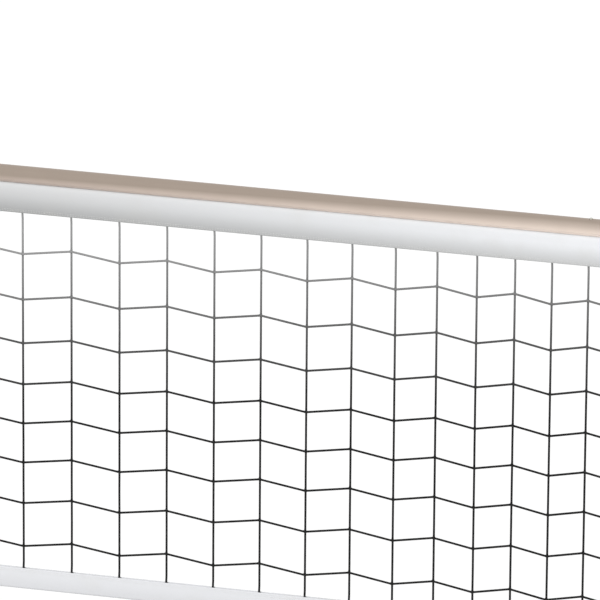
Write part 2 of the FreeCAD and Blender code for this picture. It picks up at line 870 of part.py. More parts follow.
def pole_coupler(seam):
    """The flat-footed sleeve inside a seam of the top pole."""
    start = seam - coupler_length / 2
    sleeve = plug_face(start).extrude(X_AXIS * coupler_length)
    sleeve = sleeve.cut(plug_face(start, coupler_wall).extrude(X_AXIS * coupler_length))
    return sleeve.cut([button_way(seam), *rivet_ways(seam)])


def button_foot():
    """The underside of the snap button, below the coupler's crown by its flange and the crown's sag."""
    crown = plug_radius - coupler_wall
    flange_radius = button_diameter / 2 + button_flange
    sag = crown - math.sqrt(crown ** 2 - flange_radius ** 2)
    return crown - sag - button_clearance - button_flange


def snap_button(seam):
    x = seam - outward(seam) * button_inset
    foot = Vector(x, 0, pole_axis_z + button_foot())
    flange = cylinder(button_diameter + 2 * button_flange, button_flange, foot)
    height = pole_radius + button_proud - button_foot()
    stem = cylinder(button_diameter, height, foot)
    return flange.fuse(stem.makeChamfer(button_proud / 2, far_rim(stem, foot, Z_AXIS)))


def button_spring(seam):
    """The bent leaf spring that pushes a snap button up."""
    x = seam - outward(seam) * button_inset
    low = pole_axis_z + plug_flat + coupler_wall
    high = pole_axis_z + button_foot()
    away = -outward(seam)
    y = -button_diameter / 2
    bend_x = x + away * spring_leg
    tip_x = x - away * button_diameter / 2

    def hairpin(inset):
        top = Part.LineSegment(Vector(tip_x, y, high - inset), Vector(bend_x, y, high - inset))
        radius = (high - low) / 2 - inset
        bend = Part.Arc(
            top.EndPoint,
            Vector(bend_x + away * radius, y, (high + low) / 2),
            Vector(bend_x, y, low + inset),
        )
        foot = Part.LineSegment(bend.EndPoint, Vector(tip_x, y, low + inset))
        return top, bend, foot

    outer = hairpin(0)
    inner = hairpin(spring_thickness)
    ends = [
        Part.LineSegment(outer[0].StartPoint, inner[0].StartPoint),
        Part.LineSegment(outer[2].EndPoint, inner[2].EndPoint),
    ]
    edges = Part.sortEdges([c.toShape() for c in (*outer, *inner, *ends)])[0]
    return Part.Face(Part.Wire(edges)).extrude(Y_AXIS * button_diameter)


def coupler_rivets():
    rivets = []
    for seam in seam_places():
        for x in rivet_places(seam):
            depth = pole_wall + plug_clearance + coupler_wall + rivet_tail
            face = Vector(x, pole_radius, pole_axis_z)
            shank = cylinder(rivet_diameter, depth, face, -Y_AXIS)
            rivets.append(shank.fuse(round_head(rivet_head, rivet_head_height, face, Y_AXIS)))
    return Part.makeCompound(rivets)


# The net

def bowed_face(x, top, foot, thickness):
    """A band's section: bowed out on both sides, and square at its top and foot edges."""
    height = (top - foot) / band_panels
    bow = (thickness - band_edge) / 2
    front = []
    for i in range(band_panels + 1):
        y = band_edge / 2 + bow * math.sin(math.pi * i / band_panels)
        front.append(Vector(x, -y, top - i * height))
    back = [Vector(x, -point.y, point.z) for point in reversed(front)]
    return Part.Face(Part.makePolygon(front + back + front[:1]))


def top_band():
    """The head band, with the corded edge that runs in the pole's groove."""
    x = -net_half
    length = 2 * net_half
    bead_z = pole_axis_z + groove_centre
    band = bowed_face(x, head_top, head_foot, top_band_thickness).extrude(X_AXIS * length)
    web = box(
        Vector(x, -web_thickness / 2, head_top),
        Vector(x + length, web_thickness / 2, bead_z),
    )
    bead = cylinder(bead_diameter, length, Vector(x, 0, bead_z), X_AXIS)
    bore = cylinder(bolt_rope_diameter + 2 * rope_clearance, length, Vector(x, 0, bead_z), X_AXIS)
    return fused([band, web, bead]).cut(bore)


def bolt_rope():
    bead_z = pole_axis_z + groove_centre
    return cylinder(bolt_rope_diameter, 2 * net_half, Vector(-net_half, 0, bead_z), X_AXIS)


def foot_rope_z():
    return net_foot + bottom_band_height / 2


def bottom_band():
    """The foot band, with a bore through its thickest part for the foot rope."""
    band = bowed_face(-net_half, foot_band_top, net_foot, bottom_band_thickness)
    bore = cylinder(
        foot_rope_diameter + 2 * rope_clearance,
        2 * net_half,
        Vector(-net_half, 0, foot_rope_z()),
        X_AXIS,
    )
    return band.extrude(X_AXIS * 2 * net_half).cut(bore)


def foot_rope():
    return cylinder(foot_rope_diameter, 2 * net_half, Vector(-net_half, 0, foot_rope_z()), X_AXIS)


def dowel_x():
    return (mesh_half + net_half) / 2


def side_band(side):
    """An end band, with a pocket for the dowel that keeps the net's end spread."""
    foot = foot_band_top + seam_gap
    height = head_foot - seam_gap - foot
    pocket = dowel_diameter + 2 * rope_clearance
    cloth = box(
        Vector(mesh_half, -band_edge / 2, foot),
        Vector(net_half, band_edge / 2, foot + height),
    )
    sleeve = cylinder(pocket + 2 * pocket_wall, height, Vector(dowel_x(), 0, foot))
    band = cloth.fuse(sleeve).removeSplitter()
    band = band.cut(cylinder(pocket, height, Vector(dowel_x(), 0, foot)))
    return band if side > 0 else band.mirror(Vector(0, 0, 0), X_AXIS)


def side_dowels():
    foot = foot_band_top + seam_gap + dowel_shortfall
    length = head_foot - seam_gap - dowel_shortfall - foot
    return Part.makeCompound(
        [cylinder(dowel_diameter, length, Vector(side * dowel_x(), 0, foot)) for side in (-1, 1)]
    )


def column_x(index):
    """Where an upright cord hangs. The slack meshes bunch, so it drifts from its even place."""
    even = index * mesh_size
    drift = mesh_drift * math.cos(1.5 * math.pi * even / mesh_half)
    slip = mesh_slip * math.sin(2 * math.pi * (even - slip_start) / slip_length)
    return even + drift + slip


def knot_z(index, row):
    """The height of the knot on an upright cord, in a row counted down from the head band."""
    low = knot_drop if index % 2 == 0 else 0
    sag = row_sag * math.sin(math.pi * row / sag_rows)
    return first_row - row * mesh_size - low - sag


def columns():
    return range(1 - column_pairs, column_pairs)


def upright_cords():
    foot = foot_band_top + seam_gap
    length = head_foot - seam_gap - foot
    cords = []
    for index in columns():
        section = polygon_round(Vector(column_x(index), 0, foot), Z_AXIS, cord_diameter, cord_sides)
        cords.append(Part.Face(section).extrude(Z_AXIS * length))
    return Part.makeCompound(cords)


def level_cords():
    """The level cords, which zigzag from knot to knot in front of the upright ones."""
    y = -cord_diameter - seam_gap
    end_x = mesh_half - seam_gap
    cords = []
    for row in range(row_count):
        end_z = knot_z(0, row) + knot_drop / 2
        points = [Vector(-end_x, y, end_z)]
        points += [Vector(column_x(index), y, knot_z(index, row)) for index in columns()]
        points.append(Vector(end_x, y, end_z))
        path = Part.makePolygon(points)
        section = polygon_round(points[0], points[1] - points[0], cord_diameter, cord_sides)
        cords.append(path.makePipeShell([section], True, False, 1))
    return Part.makeCompound(cords)


def strap_outline(post_radius, band_face_y):
    """One side of a strap: round half the upright, straight to the net's edge, then along its band."""
    edge_x = net_half - post_spacing / 2
    reach = math.hypot(edge_x, band_face_y)
    angle = math.atan2(band_face_y, edge_x) - math.acos(post_radius / reach)
    back = Vector(post_radius, 0, 0)
    leave = Vector(post_radius * math.cos(angle), post_radius * math.sin(angle), 0)
    middle = Vector(post_radius * math.cos(angle / 2), post_radius * math.sin(angle / 2), 0)
    edge = Vector(edge_x, band_face_y, 0)
    tail = Vector(edge_x - strap_tail, band_face_y, 0)
    return [
        Part.Arc(back, middle, leave).toShape(),
        Part.LineSegment(leave, edge).toShape(),
        Part.LineSegment(edge, tail).toShape(),
    ], back, tail


def strap_heights():
    """The straps' middles, on the side band between the foot band and the head band."""
    low = foot_band_top + strap_margin
    high = head_foot - strap_margin
    return [low + (high - low) * i / (strap_count - 1) for i in range(strap_count)]


def side_straps():
    """Loops of webbing round the upright, with both tails sewn to the side band."""
    post = upper_tube_diameter / 2 + seam_gap
    cloth = band_edge / 2 + seam_gap
    inner, inner_back, inner_tail = strap_outline(post, cloth)
    outer, outer_back, outer_tail = strap_outline(post + strap_thickness, cloth + strap_thickness)
    ends = [
        Part.LineSegment(inner_back, outer_back).toShape(),
        Part.LineSegment(inner_tail, outer_tail).toShape(),
    ]
    half = Part.Face(Part.Wire(Part.sortEdges([*inner, *outer, *ends])[0]))
    ply = half.extrude(Z_AXIS * strap_width)
    loop = fused([ply, ply.mirror(Vector(0, 0, 0), Y_AXIS)])
    lowered = loop.translated(Z_AXIS * -strap_width / 2)
    return Part.makeCompound([lowered.translated(Z_AXIS * z) for z in strap_heights()])


def make_bases():
    save_both("base_frame", base_frame)
    save_both("floor_pads", floor_pads)
    save_both("ballast_blocks", ballast_blocks)
    for end, y in zip(("front", "rear"), stack_places()):
        save_both(f"ballast_knob_{end}", lambda y=y: ballast_knob(y))
    for end, y in zip(("front", "rear"), wheel_places()):
        save_both(f"wheel_rim_{end}", lambda y=y: wheel_rim(y))
        save_both(f"wheel_tyre_{end}", lambda y=y: wheel_tyre(y))
    axles = Part.makeCompound([wheel_axle(y) for y in wheel_places()])
    save("wheel_axles", placed(axles, "left"), placed(axles, "right"))
    save("socket_bolts", placed(socket_bolt(), "left"), placed(socket_bolt(), "right"))
    save("socket_nuts", placed(socket_nut(), "left"), placed(socket_nut(), "right"))


def make_uprights():
    save_both("lower_tube", lower_tube)
    save_both("top_bush", top_bush)
    save_both("upper_tube", upper_tube)
    save_both("guide_plug", guide_plug)
    save_both("clamp_collar", clamp_collar)
    save_both("clamp_skewer", clamp_skewer)
    save_both("clamp_lever", clamp_lever)
    save("clamp_nuts", placed(clamp_nut(), "left"), placed(clamp_nut(), "right"))


def make_top_pole():
    save_both("corner_joint", corner_joint)
    save("corner_screws", placed(corner_screws(), "left"), placed(corner_screws(), "right"))
    for index in range(pole_sections):
        save(f"top_pole_{index + 1}", pole_section(index))
    for number, seam in enumerate(seam_places(), start=1):
        save(f"pole_coupler_{number}", pole_coupler(seam))
        save(f"snap_button_{number}", snap_button(seam))
        save(f"button_spring_{number}", button_spring(seam))
    save("coupler_rivets", coupler_rivets())


def make_net():
    save("top_band", top_band())
    save("bolt_rope", bolt_rope())
    save("bottom_band", bottom_band())
    save("foot_rope", foot_rope())
    save("side_band_left", side_band(-1))
    save("side_band_right", side_band(1))
    save("side_dowels", side_dowels())
    save("upright_cords", upright_cords())
    save("level_cords", level_cords())
    save_both("side_straps", side_straps)


os.makedirs("parts", exist_ok=True)
make_bases()
make_uprights()
make_top_pole()
make_net()
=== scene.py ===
"""The looks of a free-standing volleyball net: its finishes, netting, canvas, webbing and studio."""

import json
from math import acos, asin, atan2, ceil, copysign, cos, exp, pi, radians, sin, sqrt

import bmesh
import bpy
from mathutils import Matrix, Quaternion, Vector, noise


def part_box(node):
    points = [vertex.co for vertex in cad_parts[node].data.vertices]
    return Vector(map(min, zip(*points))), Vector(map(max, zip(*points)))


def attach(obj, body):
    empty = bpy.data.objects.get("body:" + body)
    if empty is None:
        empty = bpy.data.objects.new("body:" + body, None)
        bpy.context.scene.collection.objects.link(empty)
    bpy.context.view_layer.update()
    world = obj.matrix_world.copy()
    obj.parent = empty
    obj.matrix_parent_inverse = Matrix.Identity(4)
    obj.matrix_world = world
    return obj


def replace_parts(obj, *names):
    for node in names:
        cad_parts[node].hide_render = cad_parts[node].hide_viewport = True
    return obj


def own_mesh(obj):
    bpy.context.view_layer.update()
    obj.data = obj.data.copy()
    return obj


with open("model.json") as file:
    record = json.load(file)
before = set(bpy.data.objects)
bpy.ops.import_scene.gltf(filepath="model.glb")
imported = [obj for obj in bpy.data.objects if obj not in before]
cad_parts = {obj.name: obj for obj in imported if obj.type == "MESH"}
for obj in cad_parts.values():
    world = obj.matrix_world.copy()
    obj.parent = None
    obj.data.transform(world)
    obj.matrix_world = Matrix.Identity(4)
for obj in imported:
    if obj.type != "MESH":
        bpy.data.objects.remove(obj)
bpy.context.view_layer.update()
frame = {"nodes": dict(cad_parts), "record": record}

mm = 0.001

# The camera, where the photograph was taken from
camera_target = Vector((52 * mm, 0, 2179 * mm))
camera_azimuth = 14.4
camera_elevation = 20.06
camera_roll = 0.44
camera_distance = 20.0
camera_lens = 547.2

# The light
key_strength = 1.95
key_softness = 30.0
key_azimuth = -25.0
key_elevation = 40.0
ambient_strength = 0.5
floor_tone = 0.72
floor_glow = 0.4  # added for the camera, so that the lit floor is white
floor_half = 150.0

# The net, as the CAD model lays it out
mesh_size = 100 * mm
mesh_half = 2100 * mm
net_half = 2150 * mm
column_pairs = 21
columns = range(1 - column_pairs, column_pairs)
row_count = 8
first_row = 2241.7 * mm
knot_drop = 16.5 * mm
mesh_drift = 70 * mm
mesh_slip = 6 * mm
slip_length = 1140 * mm
slip_start = 75 * mm
row_sag = 10 * mm
sag_rows = 4
pole_axis = 2411 * mm
pole_radius = 19 * mm
post_x = 2250 * mm
band_clearance = 0.4 * mm  # from the pole to the middle of the head band's cloth
head_top = pole_axis - pole_radius - band_clearance
head_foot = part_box("top_band")[0].z
net_foot, foot_band_top = (corner.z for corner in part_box("bottom_band"))
bead_z = 2397.3 * mm
side_names = {-1: "left", 1: "right"}

# Tones that change along the net, from left to right, for the pole's painted highlight, the head band's
# painted shade and the cords' grey
fade_left = -620 * mm
fade_right = 660 * mm
# The pole's painted highlight: where it starts, how much higher it starts on the right, and where it is
# palest
pole_highlight_start = 0.05 * pole_radius  # above the pole's axis, where it starts to pale on the left
pole_highlight_rise = 0.8 * pole_radius  # how much higher that is on the right
pole_highlight_peak = 0.8 * pole_radius  # below its axis, where it is palest
# The head band's painted shade, grey towards its foot
band_shade_start = 23 * mm  # below the pole, where the head band starts to grey on the right
cord_fade = 45 * mm  # below the head band, where the cords start to darken on the left
cord_fade_rise = 125 * mm  # how much higher that is on the right
cord_fade_reach = 490 * mm  # from there down to where they are black

# Height marks, engraved rings on the sliding tubes
mark_pitch = 50 * mm
mark_half = 0.5 * mm
double_pitch = 200 * mm
double_gap = 3 * mm  # between the two rings of a doubled mark
marked_length = 460 * mm

# Canvas
canvas_thickness = 0.7 * mm
canvas_half = canvas_thickness / 2
hem_half = 3.65 * mm  # half a band's thickness at its open, hemmed edge
hem_turn = 10 * mm  # cloth turned in at a hem
hem_gap = 2.9 * mm  # half the room that a hem leaves for the cords
head_bow = 5.35 * mm
head_shoulder = 2.4 * mm  # how much fuller the head band is at the pole
shoulder_start = 0.6  # how far up the head band its shoulder starts
taper_reach = 28 * mm  # from the head band's ends to where it is full
foot_bow = 2.85 * mm
bead_radius = 2.85 * mm
web_half = 0.8 * mm
band_step = 10 * mm
pucker_pitch = 17 * mm
pucker_reach = 13 * mm  # how far a seam's gathers spread
swell_pitch = 210 * mm  # the slow swelling along a band
side_width = net_half - mesh_half
side_half_thickness = 3.5 * mm
pocket_bow = 2.95 * mm  # what a dowel adds to a side band on each face
pocket_reach = 11 * mm  # from a dowel's middle to where its pocket lies flat

# Thread
stitch_pitch = 6 * mm
stitch_length = 4.6 * mm
thread_radius = 0.42 * mm
stitch_shape = ((-0.5, 0.45, -0.3), (0, 1, 0.25), (0.5, 0.45, -0.3))  # place along it, girth, rise
thread_end = 4 * mm  # from a band's end to where its rows of thread stop
hem_seams = (4 * mm, 8 * mm)  # from a band's open edge
side_seams = (4 * mm, 13 * mm, 37 * mm, 46 * mm)
pocket_seam = 12 * mm  # from a dowel's middle

# Cords
cord_radius = 2.5 * mm
crossing_radius = 3.0 * mm
crossing_length = 11 * mm
cord_sides = 8
cord_bow = 0.9 * mm  # how far an upright cord strays between two crossings
cord_spread = 1.9 * mm  # how far the upright and level cords lie from the net's middle plane
cord_tuck = 8 * mm  # cord hidden in the bands
cord_mouth = 1.5 * mm  # from a band's edge to where a cord starts to leave the net's plane
cord_ease = 14 * mm  # and to where it has reached its own side
cord_leads = ((cord_tuck, 0), (-cord_mouth, 0), (-cord_ease, 1))  # way into a band, share of the spread

# Through a crossing: place in halves of its length, share of the spread, and radius
crossing_shape = (
    (-1, 1, cord_radius),
    (-0.5, 0.8, (cord_radius + crossing_radius) / 2),
    (0, 0.7, crossing_radius),
    (0.5, 0.8, (cord_radius + crossing_radius) / 2),
    (1, 1, cord_radius),
)

# Ropes
rope_strands = 3
rope_lay = 38 * mm
rope_step = 5 * mm
rope_sides = 12
rope_groove = 0.13  # half the depth between two strands, as a share of the rope's radius
bolt_rope_radius = 2.4 * mm
foot_rope_radius = 4 * mm

# Straps, the same number on each side
strap_count = 4
strap_width = 25 * mm
strap_thickness = 1.9 * mm
strap_tail = 14 * mm
strap_face = 4.6 * mm  # from the net's plane to the middle of a strap's tail
strap_post_radius = 22.4 * mm
strap_landing = 1.5 * mm  # from the net's edge to where a strap's tail lies flat
strap_waver = 0.5 * mm
sewn_box_insets = (2.5 * mm, 2 * mm, 3 * mm)  # from the net's edge, a tail's end and its sides

# A flat strip's section in halves of its width and thickness, with softened edges and a slight cup
flat_section = [(-1, 0), (-0.94, 0.7), (-0.5, 1), (0, 0.93), (0.5, 1), (0.94, 0.7)]
flat_section += [(-across, -through) for across, through in flat_section]
leaf_thickness = 0.6 * mm

# Bases, measured from an upright's centre line outward
plate_shift = 50 * mm
plate_half = 200 * mm
plate_corner = 30 * mm
plate_top = 22 * mm
block_half = 110 * mm
block_corner = 20 * mm
block_thickness = 30 * mm
socket_radius = 29.25 * mm
gusset_half = 3 * mm
gusset_reach = 88 * mm
gusset_height = 150 * mm
lug_start = 196 * mm
lug_end = 250 * mm
lug_face = 23 * mm  # from a wheel's middle to the outside of its lugs
wheel_y = 300 * mm
weld_radius = 2.3 * mm
weld_sides = 7
weld_step = 1.2 * mm
weld_taper = 3  # steps over which a bead thins out at its ends
weld_waves = ((0.25 * mm, 0.31), (0.1 * mm, 0.83), (0.14 * mm, 2 * pi / 3))  # height, turn a step
weld_throat = 0.5 * mm  # how far a weld bead's middle stands off the corner it fills
weld_clear = 3 * mm  # from one weld bead to the next
weld_inset = 1 * mm  # from a gusset's tips, and twice that from a lug's ends


# Colours

def linear(text):
    """Six hex digits as the linear RGBA that Blender's nodes work in."""
    values = [int(text[i:i + 2], 16) / 255 for i in (0, 2, 4)]
    return [v / 12.92 if v <= 0.04045 else ((v + 0.055) / 1.055) ** 2.4 for v in values] + [1.0]


# Materials

class Tree:
    """A material's or world's nodes, with short calls that make and link them."""

    def __init__(self, owner):
        owner.use_nodes = True
        self.nodes = owner.node_tree.nodes
        self.links = owner.node_tree.links

    def put(self, socket, value):
        """Links a node's output to a socket, or writes a plain value in it."""
        if isinstance(value, bpy.types.NodeSocket):
            self.links.new(value, socket)
        else:
            socket.default_value = value

    def node(self, kind, inputs, **settings):
        made = self.nodes.new(f"ShaderNode{kind}")
        for name, value in settings.items():
            setattr(made, name, value)
        for name, value in inputs.items():
            self.put(made.inputs[name], value)
        return made

    def math(self, operation, *values):
        return self.node("Math", dict(enumerate(values)), operation=operation).outputs["Value"]

    def apart(self, first, second):
        """How far two values are from each other."""
        return self.math("ABSOLUTE", self.math("SUBTRACT", first, second))


class Finish(Tree):
    """A material, with calls for the patterns of its surface."""

    def __init__(self, name, **sockets):
        self.name = name
        self.material = bpy.data.materials.new(name)
        super().__init__(self.material)
        self.shader = self.nodes["Principled BSDF"]
        self.coordinates = self.node("TexCoord", {})
        for socket, value in sockets.items():
            self.put(self.shader.inputs[socket.replace("_", " ").title().replace("Ior", "IOR")], value)

    def place(self, stretch=(1, 1, 1)):
        """Where a point is, in the object's own metres."""
        inputs = {"Vector": self.coordinates.outputs["Object"], "Scale": stretch}
        return self.node("Mapping", inputs).outputs["Vector"]

    def axes(self, source="Object"):
        """A point's x, y and z, or with UV its places along and across its cloth."""
        return self.node("SeparateXYZ", {"Vector": self.coordinates.outputs[source]}).outputs

    def rightward(self):
        """How far a point is through the tones that change along the net, from 0 to 1."""
        return self.span(self.axes()[0], fade_left, fade_right, smooth=False)

    def ripple(self, value, pitch):
        """A wave from 0 to 1 and back over each pitch."""
        turned = self.math("SINE", self.math("MULTIPLY", value, 2 * pi / pitch))
        return self.math("MULTIPLY_ADD", turned, 0.5, 0.5)

    def span(self, value, start, end, low=0.0, high=1.0, smooth=True):
        """Runs from low at start to high at end, and stays there outside them."""
        inputs = {"Value": value, "From Min": start, "From Max": end, "To Min": low, "To Max": high}
        shape = "SMOOTHSTEP" if smooth else "LINEAR"
        return self.node("MapRange", inputs, interpolation_type=shape).outputs["Result"]

    def ramp(self, value, start, end, tones):
        """A colour that runs through tones, {share: hex} by rising share, from start to end."""
        made = self.node("ValToRGB", {"Fac": self.span(value, start, end, smooth=False)})
        stops = made.color_ramp.elements
        while len(stops) < len(tones):
            stops.new(0.5)
        for stop, (share, tone) in zip(stops, tones.items()):
            stop.position = share
            stop.color = linear(tone)
        return made.outputs["Color"]

    def mix(self, factor, first, second):
        """Two colours mixed, each a node's output or six hex digits."""
        first, second = (linear(tone) if isinstance(tone, str) else tone for tone in (first, second))
        return self.node("Mix", {0: factor, 6: first, 7: second}, data_type="RGBA").outputs[2]

    def over(self, base, tone, mask, start, end, share=1.0):
        """A tone laid over a base colour, by up to that share, as a mask runs from start to end."""
        return self.mix(self.span(mask, start, end, 0, share), base, tone)

    def cloud(self, size, detail=2.0, stretch=(1, 1, 1)):
        """Noise from 0 to 1 with blotches of about that size."""
        inputs = {"Vector": self.place(stretch), "Scale": 1 / size, "Detail": detail}
        return self.node("TexNoise", inputs).outputs["Fac"]

    def braid(self, pitch, slope=1.0):
        """Strands that cross each other at a slope to the cloth's map, raised from 0 to 1."""
        u, v, _ = self.axes("UV")
        strands = [self.ripple(self.math("MULTIPLY_ADD", v, way * slope, u), pitch) for way in (1, -1)]
        return self.math("MAXIMUM", *strands)

    def cells(self, size):
        inputs = {"Vector": self.place(), "Scale": 1 / size, "Smoothness": 0.6}
        return self.node("TexVoronoi", inputs, feature="SMOOTH_F1").outputs["Distance"]

    def colour(self, value):
        self.put(self.shader.inputs["Base Color"], value)

    def rough(self, mask, low, high, start=0.3, end=0.7):
        """Roughness from low to high as a mask, such as noise, runs from start to end."""
        self.put(self.shader.inputs["Roughness"], self.span(mask, start, end, low, high))

    def bump(self, height, depth):
        """Raises the surface by depth where height is 1. Later bumps lie on earlier ones."""
        made = self.node("Bump", {"Height": height, "Distance": depth, "Strength": 1})
        socket = self.shader.inputs["Normal"]
        if socket.is_linked:
            self.links.new(socket.links[0].from_socket, made.inputs["Normal"])
        self.links.new(made.outputs["Normal"], socket)


def pole_finish():
    """Satin taupe metal with a painted highlight that pales it to cream along its underside, more so to
    the right.
    """
    finish = Finish("pole_finish", metallic=0.9)
    x, _, z = finish.axes()
    right = finish.rightward()
    # Painted highlight: the colour pales to cream towards the underside, starting higher and paler on the
    # right
    start = finish.math("MULTIPLY_ADD", right, pole_highlight_rise, pole_axis + pole_highlight_start)
    painted_highlight = finish.span(z, start, pole_axis - pole_highlight_peak, smooth=False)
    lower = finish.mix(right, "D2C1B6", "FFEEE1")
    base = finish.mix(painted_highlight, "AB9D91", lower)
    streaks = finish.cloud(0.4 * mm, 3, (0.02, 1, 1))
    dust = finish.cloud(60 * mm, 4)
    base = finish.over(base, "8F8378", dust, 0.35, 0.75, 0.06)
    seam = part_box("top_pole_2")[1].x
    from_seam = finish.apart(finish.math("ABSOLUTE", x), seam)
    finish.colour(finish.mix(finish.span(from_seam, 0.5 * mm, 0.2 * mm, 0, 0.85), base, "3F3833"))
    finish.rough(streaks, 0.34, 0.44)
    finish.bump(streaks, 0.01 * mm)
    return finish


def brushed_aluminium(name, marked=False):
    """Clear anodised tube, drawn and brushed along its length."""
    finish = Finish(name, metallic=0.8)
    streaks = finish.cloud(0.5 * mm, 4, (1, 1, 0.003))
    smudges = finish.cloud(90 * mm, 4)
    base = finish.over("9FA0A3", "AFB0B2", streaks, 0.3, 0.7)
    base = finish.over(base, "88898C", smudges, 0.5, 0.72, 0.18)
    if marked:
        base = finish.mix(height_marks(finish), base, "2A2B2D")
    finish.colour(base)
    finish.rough(finish.math("ADD", streaks, smudges), 0.26, 0.4, 0.75, 1.25)
    finish.bump(streaks, 0.012 * mm)
    return finish


def height_marks(finish):
    """Rings at even steps up the sliding tube, some doubled."""
    _, _, z = finish.axes()
    above = finish.math("SUBTRACT", z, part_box("clamp_collar_right")[1].z)
    rings = []
    for start, pitch in ((0, mark_pitch), (double_gap, double_pitch)):
        away = finish.math("PINGPONG", finish.math("SUBTRACT", above, start), pitch / 2)
        rings.append(finish.span(away, mark_half, 1.3 * mark_half, 1, 0))
    inside = finish.math("LESS_THAN", above, marked_length)
    return finish.math("MULTIPLY", finish.math("MAXIMUM", *rings), inside)


def outline_depth(finish, centre, half, corner):
    """How deep inside a rounded outline on each base a point lies, up to its corner radius."""
    x, y, _ = finish.axes()
    reaches = []
    for place, middle, size in zip((x, y), centre, half):
        away = finish.apart(finish.math("ABSOLUTE", place), middle)
        reach = finish.math("MAXIMUM", finish.math("SUBTRACT", away, size - corner), 0)
        reaches.append(finish.math("MULTIPLY", reach, reach))
    return finish.math("SUBTRACT", corner, finish.math("SQRT", finish.math("ADD", *reaches)))


def chipped(finish, away, width):
    """A broken line of chips, of that width, along an edge that is so far away."""
    chips = finish.span(finish.cloud(7 * mm, 8), 0.5, 0.56)
    stretches = finish.span(finish.cloud(60 * mm, 2), 0.42, 0.56)
    line = finish.span(away, width, 0.6 * width)
    return finish.math("MULTIPLY", line, finish.math("MULTIPLY", chips, stretches))


def plate_edges(finish):
    """The base plate's upper edge, where the coat is knocked off."""
    _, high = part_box("base_frame_right")
    centre = (post_x + plate_shift, 0)
    depth = outline_depth(finish, centre, (plate_half, high.y), plate_corner)
    _, _, z = finish.axes()
    drop = finish.apart(z, plate_top)
    return chipped(finish, finish.math("ADD", depth, drop), 1.4 * mm)


def block_edges(finish):
    """The chamfered rims of the stacked blocks, top and bottom."""
    low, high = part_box("ballast_blocks_right")
    half = ((high.x - low.x) / 2, block_half)
    centre = ((low.x + high.x) / 2, high.y - block_half)
    depth = outline_depth(finish, centre, half, block_corner)
    _, _, z = finish.axes()
    rise = finish.math("PINGPONG", finish.math("SUBTRACT", z, low.z), block_thickness / 2)
    return chipped(finish, finish.math("ADD", depth, rise), 3.4 * mm)


def casting_rims(finish):
    """The chamfers at the ends of the clamps and corner joints, by their heights."""
    _, _, z = finish.axes()
    nearest = 1
    for node in ("clamp_collar_right", "corner_joint_right"):
        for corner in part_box(node):
            nearest = finish.math("MINIMUM", finish.apart(z, corner.z), nearest)
    off_face = finish.span(nearest, 0.05 * mm, 0.3 * mm)
    return finish.math("MULTIPLY", chipped(finish, nearest, 1.8 * mm), off_face)


def powder_coat(name, tone, worn, edges, grain=0.9 * mm, texture=0.09 * mm):
    """A textured powder coat, rubbed lighter in places and chipped to bare metal at its edges."""
    finish = Finish(name, coat_weight=0.08, coat_roughness=0.4)
    shade = finish.cloud(160 * mm, 3)
    rub = finish.cloud(28 * mm, 6)
    base = finish.over(tone, worn, shade, 0.3, 0.7, 0.35)
    base = finish.over(base, worn, rub, 0.6, 0.74, 0.55)
    finish.colour(finish.over(base, "8E9092", edges(finish), 0, 1, 0.7))
    finish.rough(rub, 0.46, 0.58)
    finish.bump(finish.cloud(grain, 2), texture)
    return finish


def weld_coat():
    """The coat over the welds, rougher and dirtier than on the plates."""
    finish = Finish("weld_coat", specular_ior_level=0.25)
    grime = finish.cloud(9 * mm, 5)
    finish.colour(finish.over("37393C", "4C4E52", grime, 0.35, 0.65))
    finish.rough(grime, 0.65, 0.8)
    finish.bump(finish.cloud(1.1 * mm, 3), 0.12 * mm)
    return finish


def hammered_enamel():
    """The dimpled enamel of cast weights, with a little dust in blotches over it."""
    finish = Finish("ballast_iron", coat_weight=0.25, coat_roughness=0.2)
    dimples = finish.cells(3.6 * mm)
    shade = finish.cloud(70 * mm, 4)
    base = finish.over("313236", "222327", dimples, 0.15, 0.6)
    base = finish.over(base, "5B5752", shade, 0.48, 0.72, 0.45)
    finish.colour(finish.over(base, "6E6964", block_edges(finish), 0, 1, 0.7))
    finish.rough(dimples, 0.3, 0.48, 0.1, 0.6)
    finish.bump(dimples, 0.3 * mm)
    return finish


def zinc_plate():
    """Bright zinc with the faint straw and blue tints of its passivation."""
    finish = Finish("zinc_steel", metallic=1.0)
    tint = finish.cloud(30 * mm, 2)
    wear = finish.cloud(3 * mm, 4)
    base = finish.over("C2C5CA", "C9C6BC", tint, 0.35, 0.65)
    finish.colour(finish.over(base, "96979A", wear, 0.55, 0.75, 0.3))
    finish.rough(wear, 0.2, 0.3)
    finish.bump(finish.cloud(0.6 * mm, 2), 0.008 * mm)
    return finish


def spring_steel():
    finish = Finish("spring_steel", metallic=1.0)
    streaks = finish.cloud(0.4 * mm, 3, (0.05, 1, 1))
    finish.colour(finish.mix(streaks, "8E9196", "BFC1C4"))
    finish.rough(streaks, 0.24, 0.36)
    finish.bump(streaks, 0.01 * mm)
    return finish


def moulded_plastic(name, tone, bright, gloss=0.45):
    """Plastic with the fine etched grain of its mould, and glossier handled patches, painted lighter as a
    sheen.
    """
    finish = Finish(name, specular_ior_level=0.5)
    gloss_and_sheen = finish.cloud(22 * mm, 3)
    # Painted sheen: the glossier handled patches are also lighter in colour
    finish.colour(finish.over(tone, bright, gloss_and_sheen, 0.35, 0.75, 0.5))
    finish.rough(gloss_and_sheen, gloss + 0.1, gloss - 0.08)
    finish.bump(finish.cloud(0.55 * mm, 2), 0.05 * mm)
    return finish


def natural_nylon():
    finish = Finish("nylon", subsurface_weight=0.12, subsurface_scale=0.004)
    cloud = finish.cloud(18 * mm, 3)
    finish.colour(finish.mix(cloud, "EFEDE6", "DCD8CC"))
    finish.rough(cloud, 0.38, 0.5)
    finish.bump(finish.cloud(1.2 * mm, 2), 0.02 * mm)
    return finish


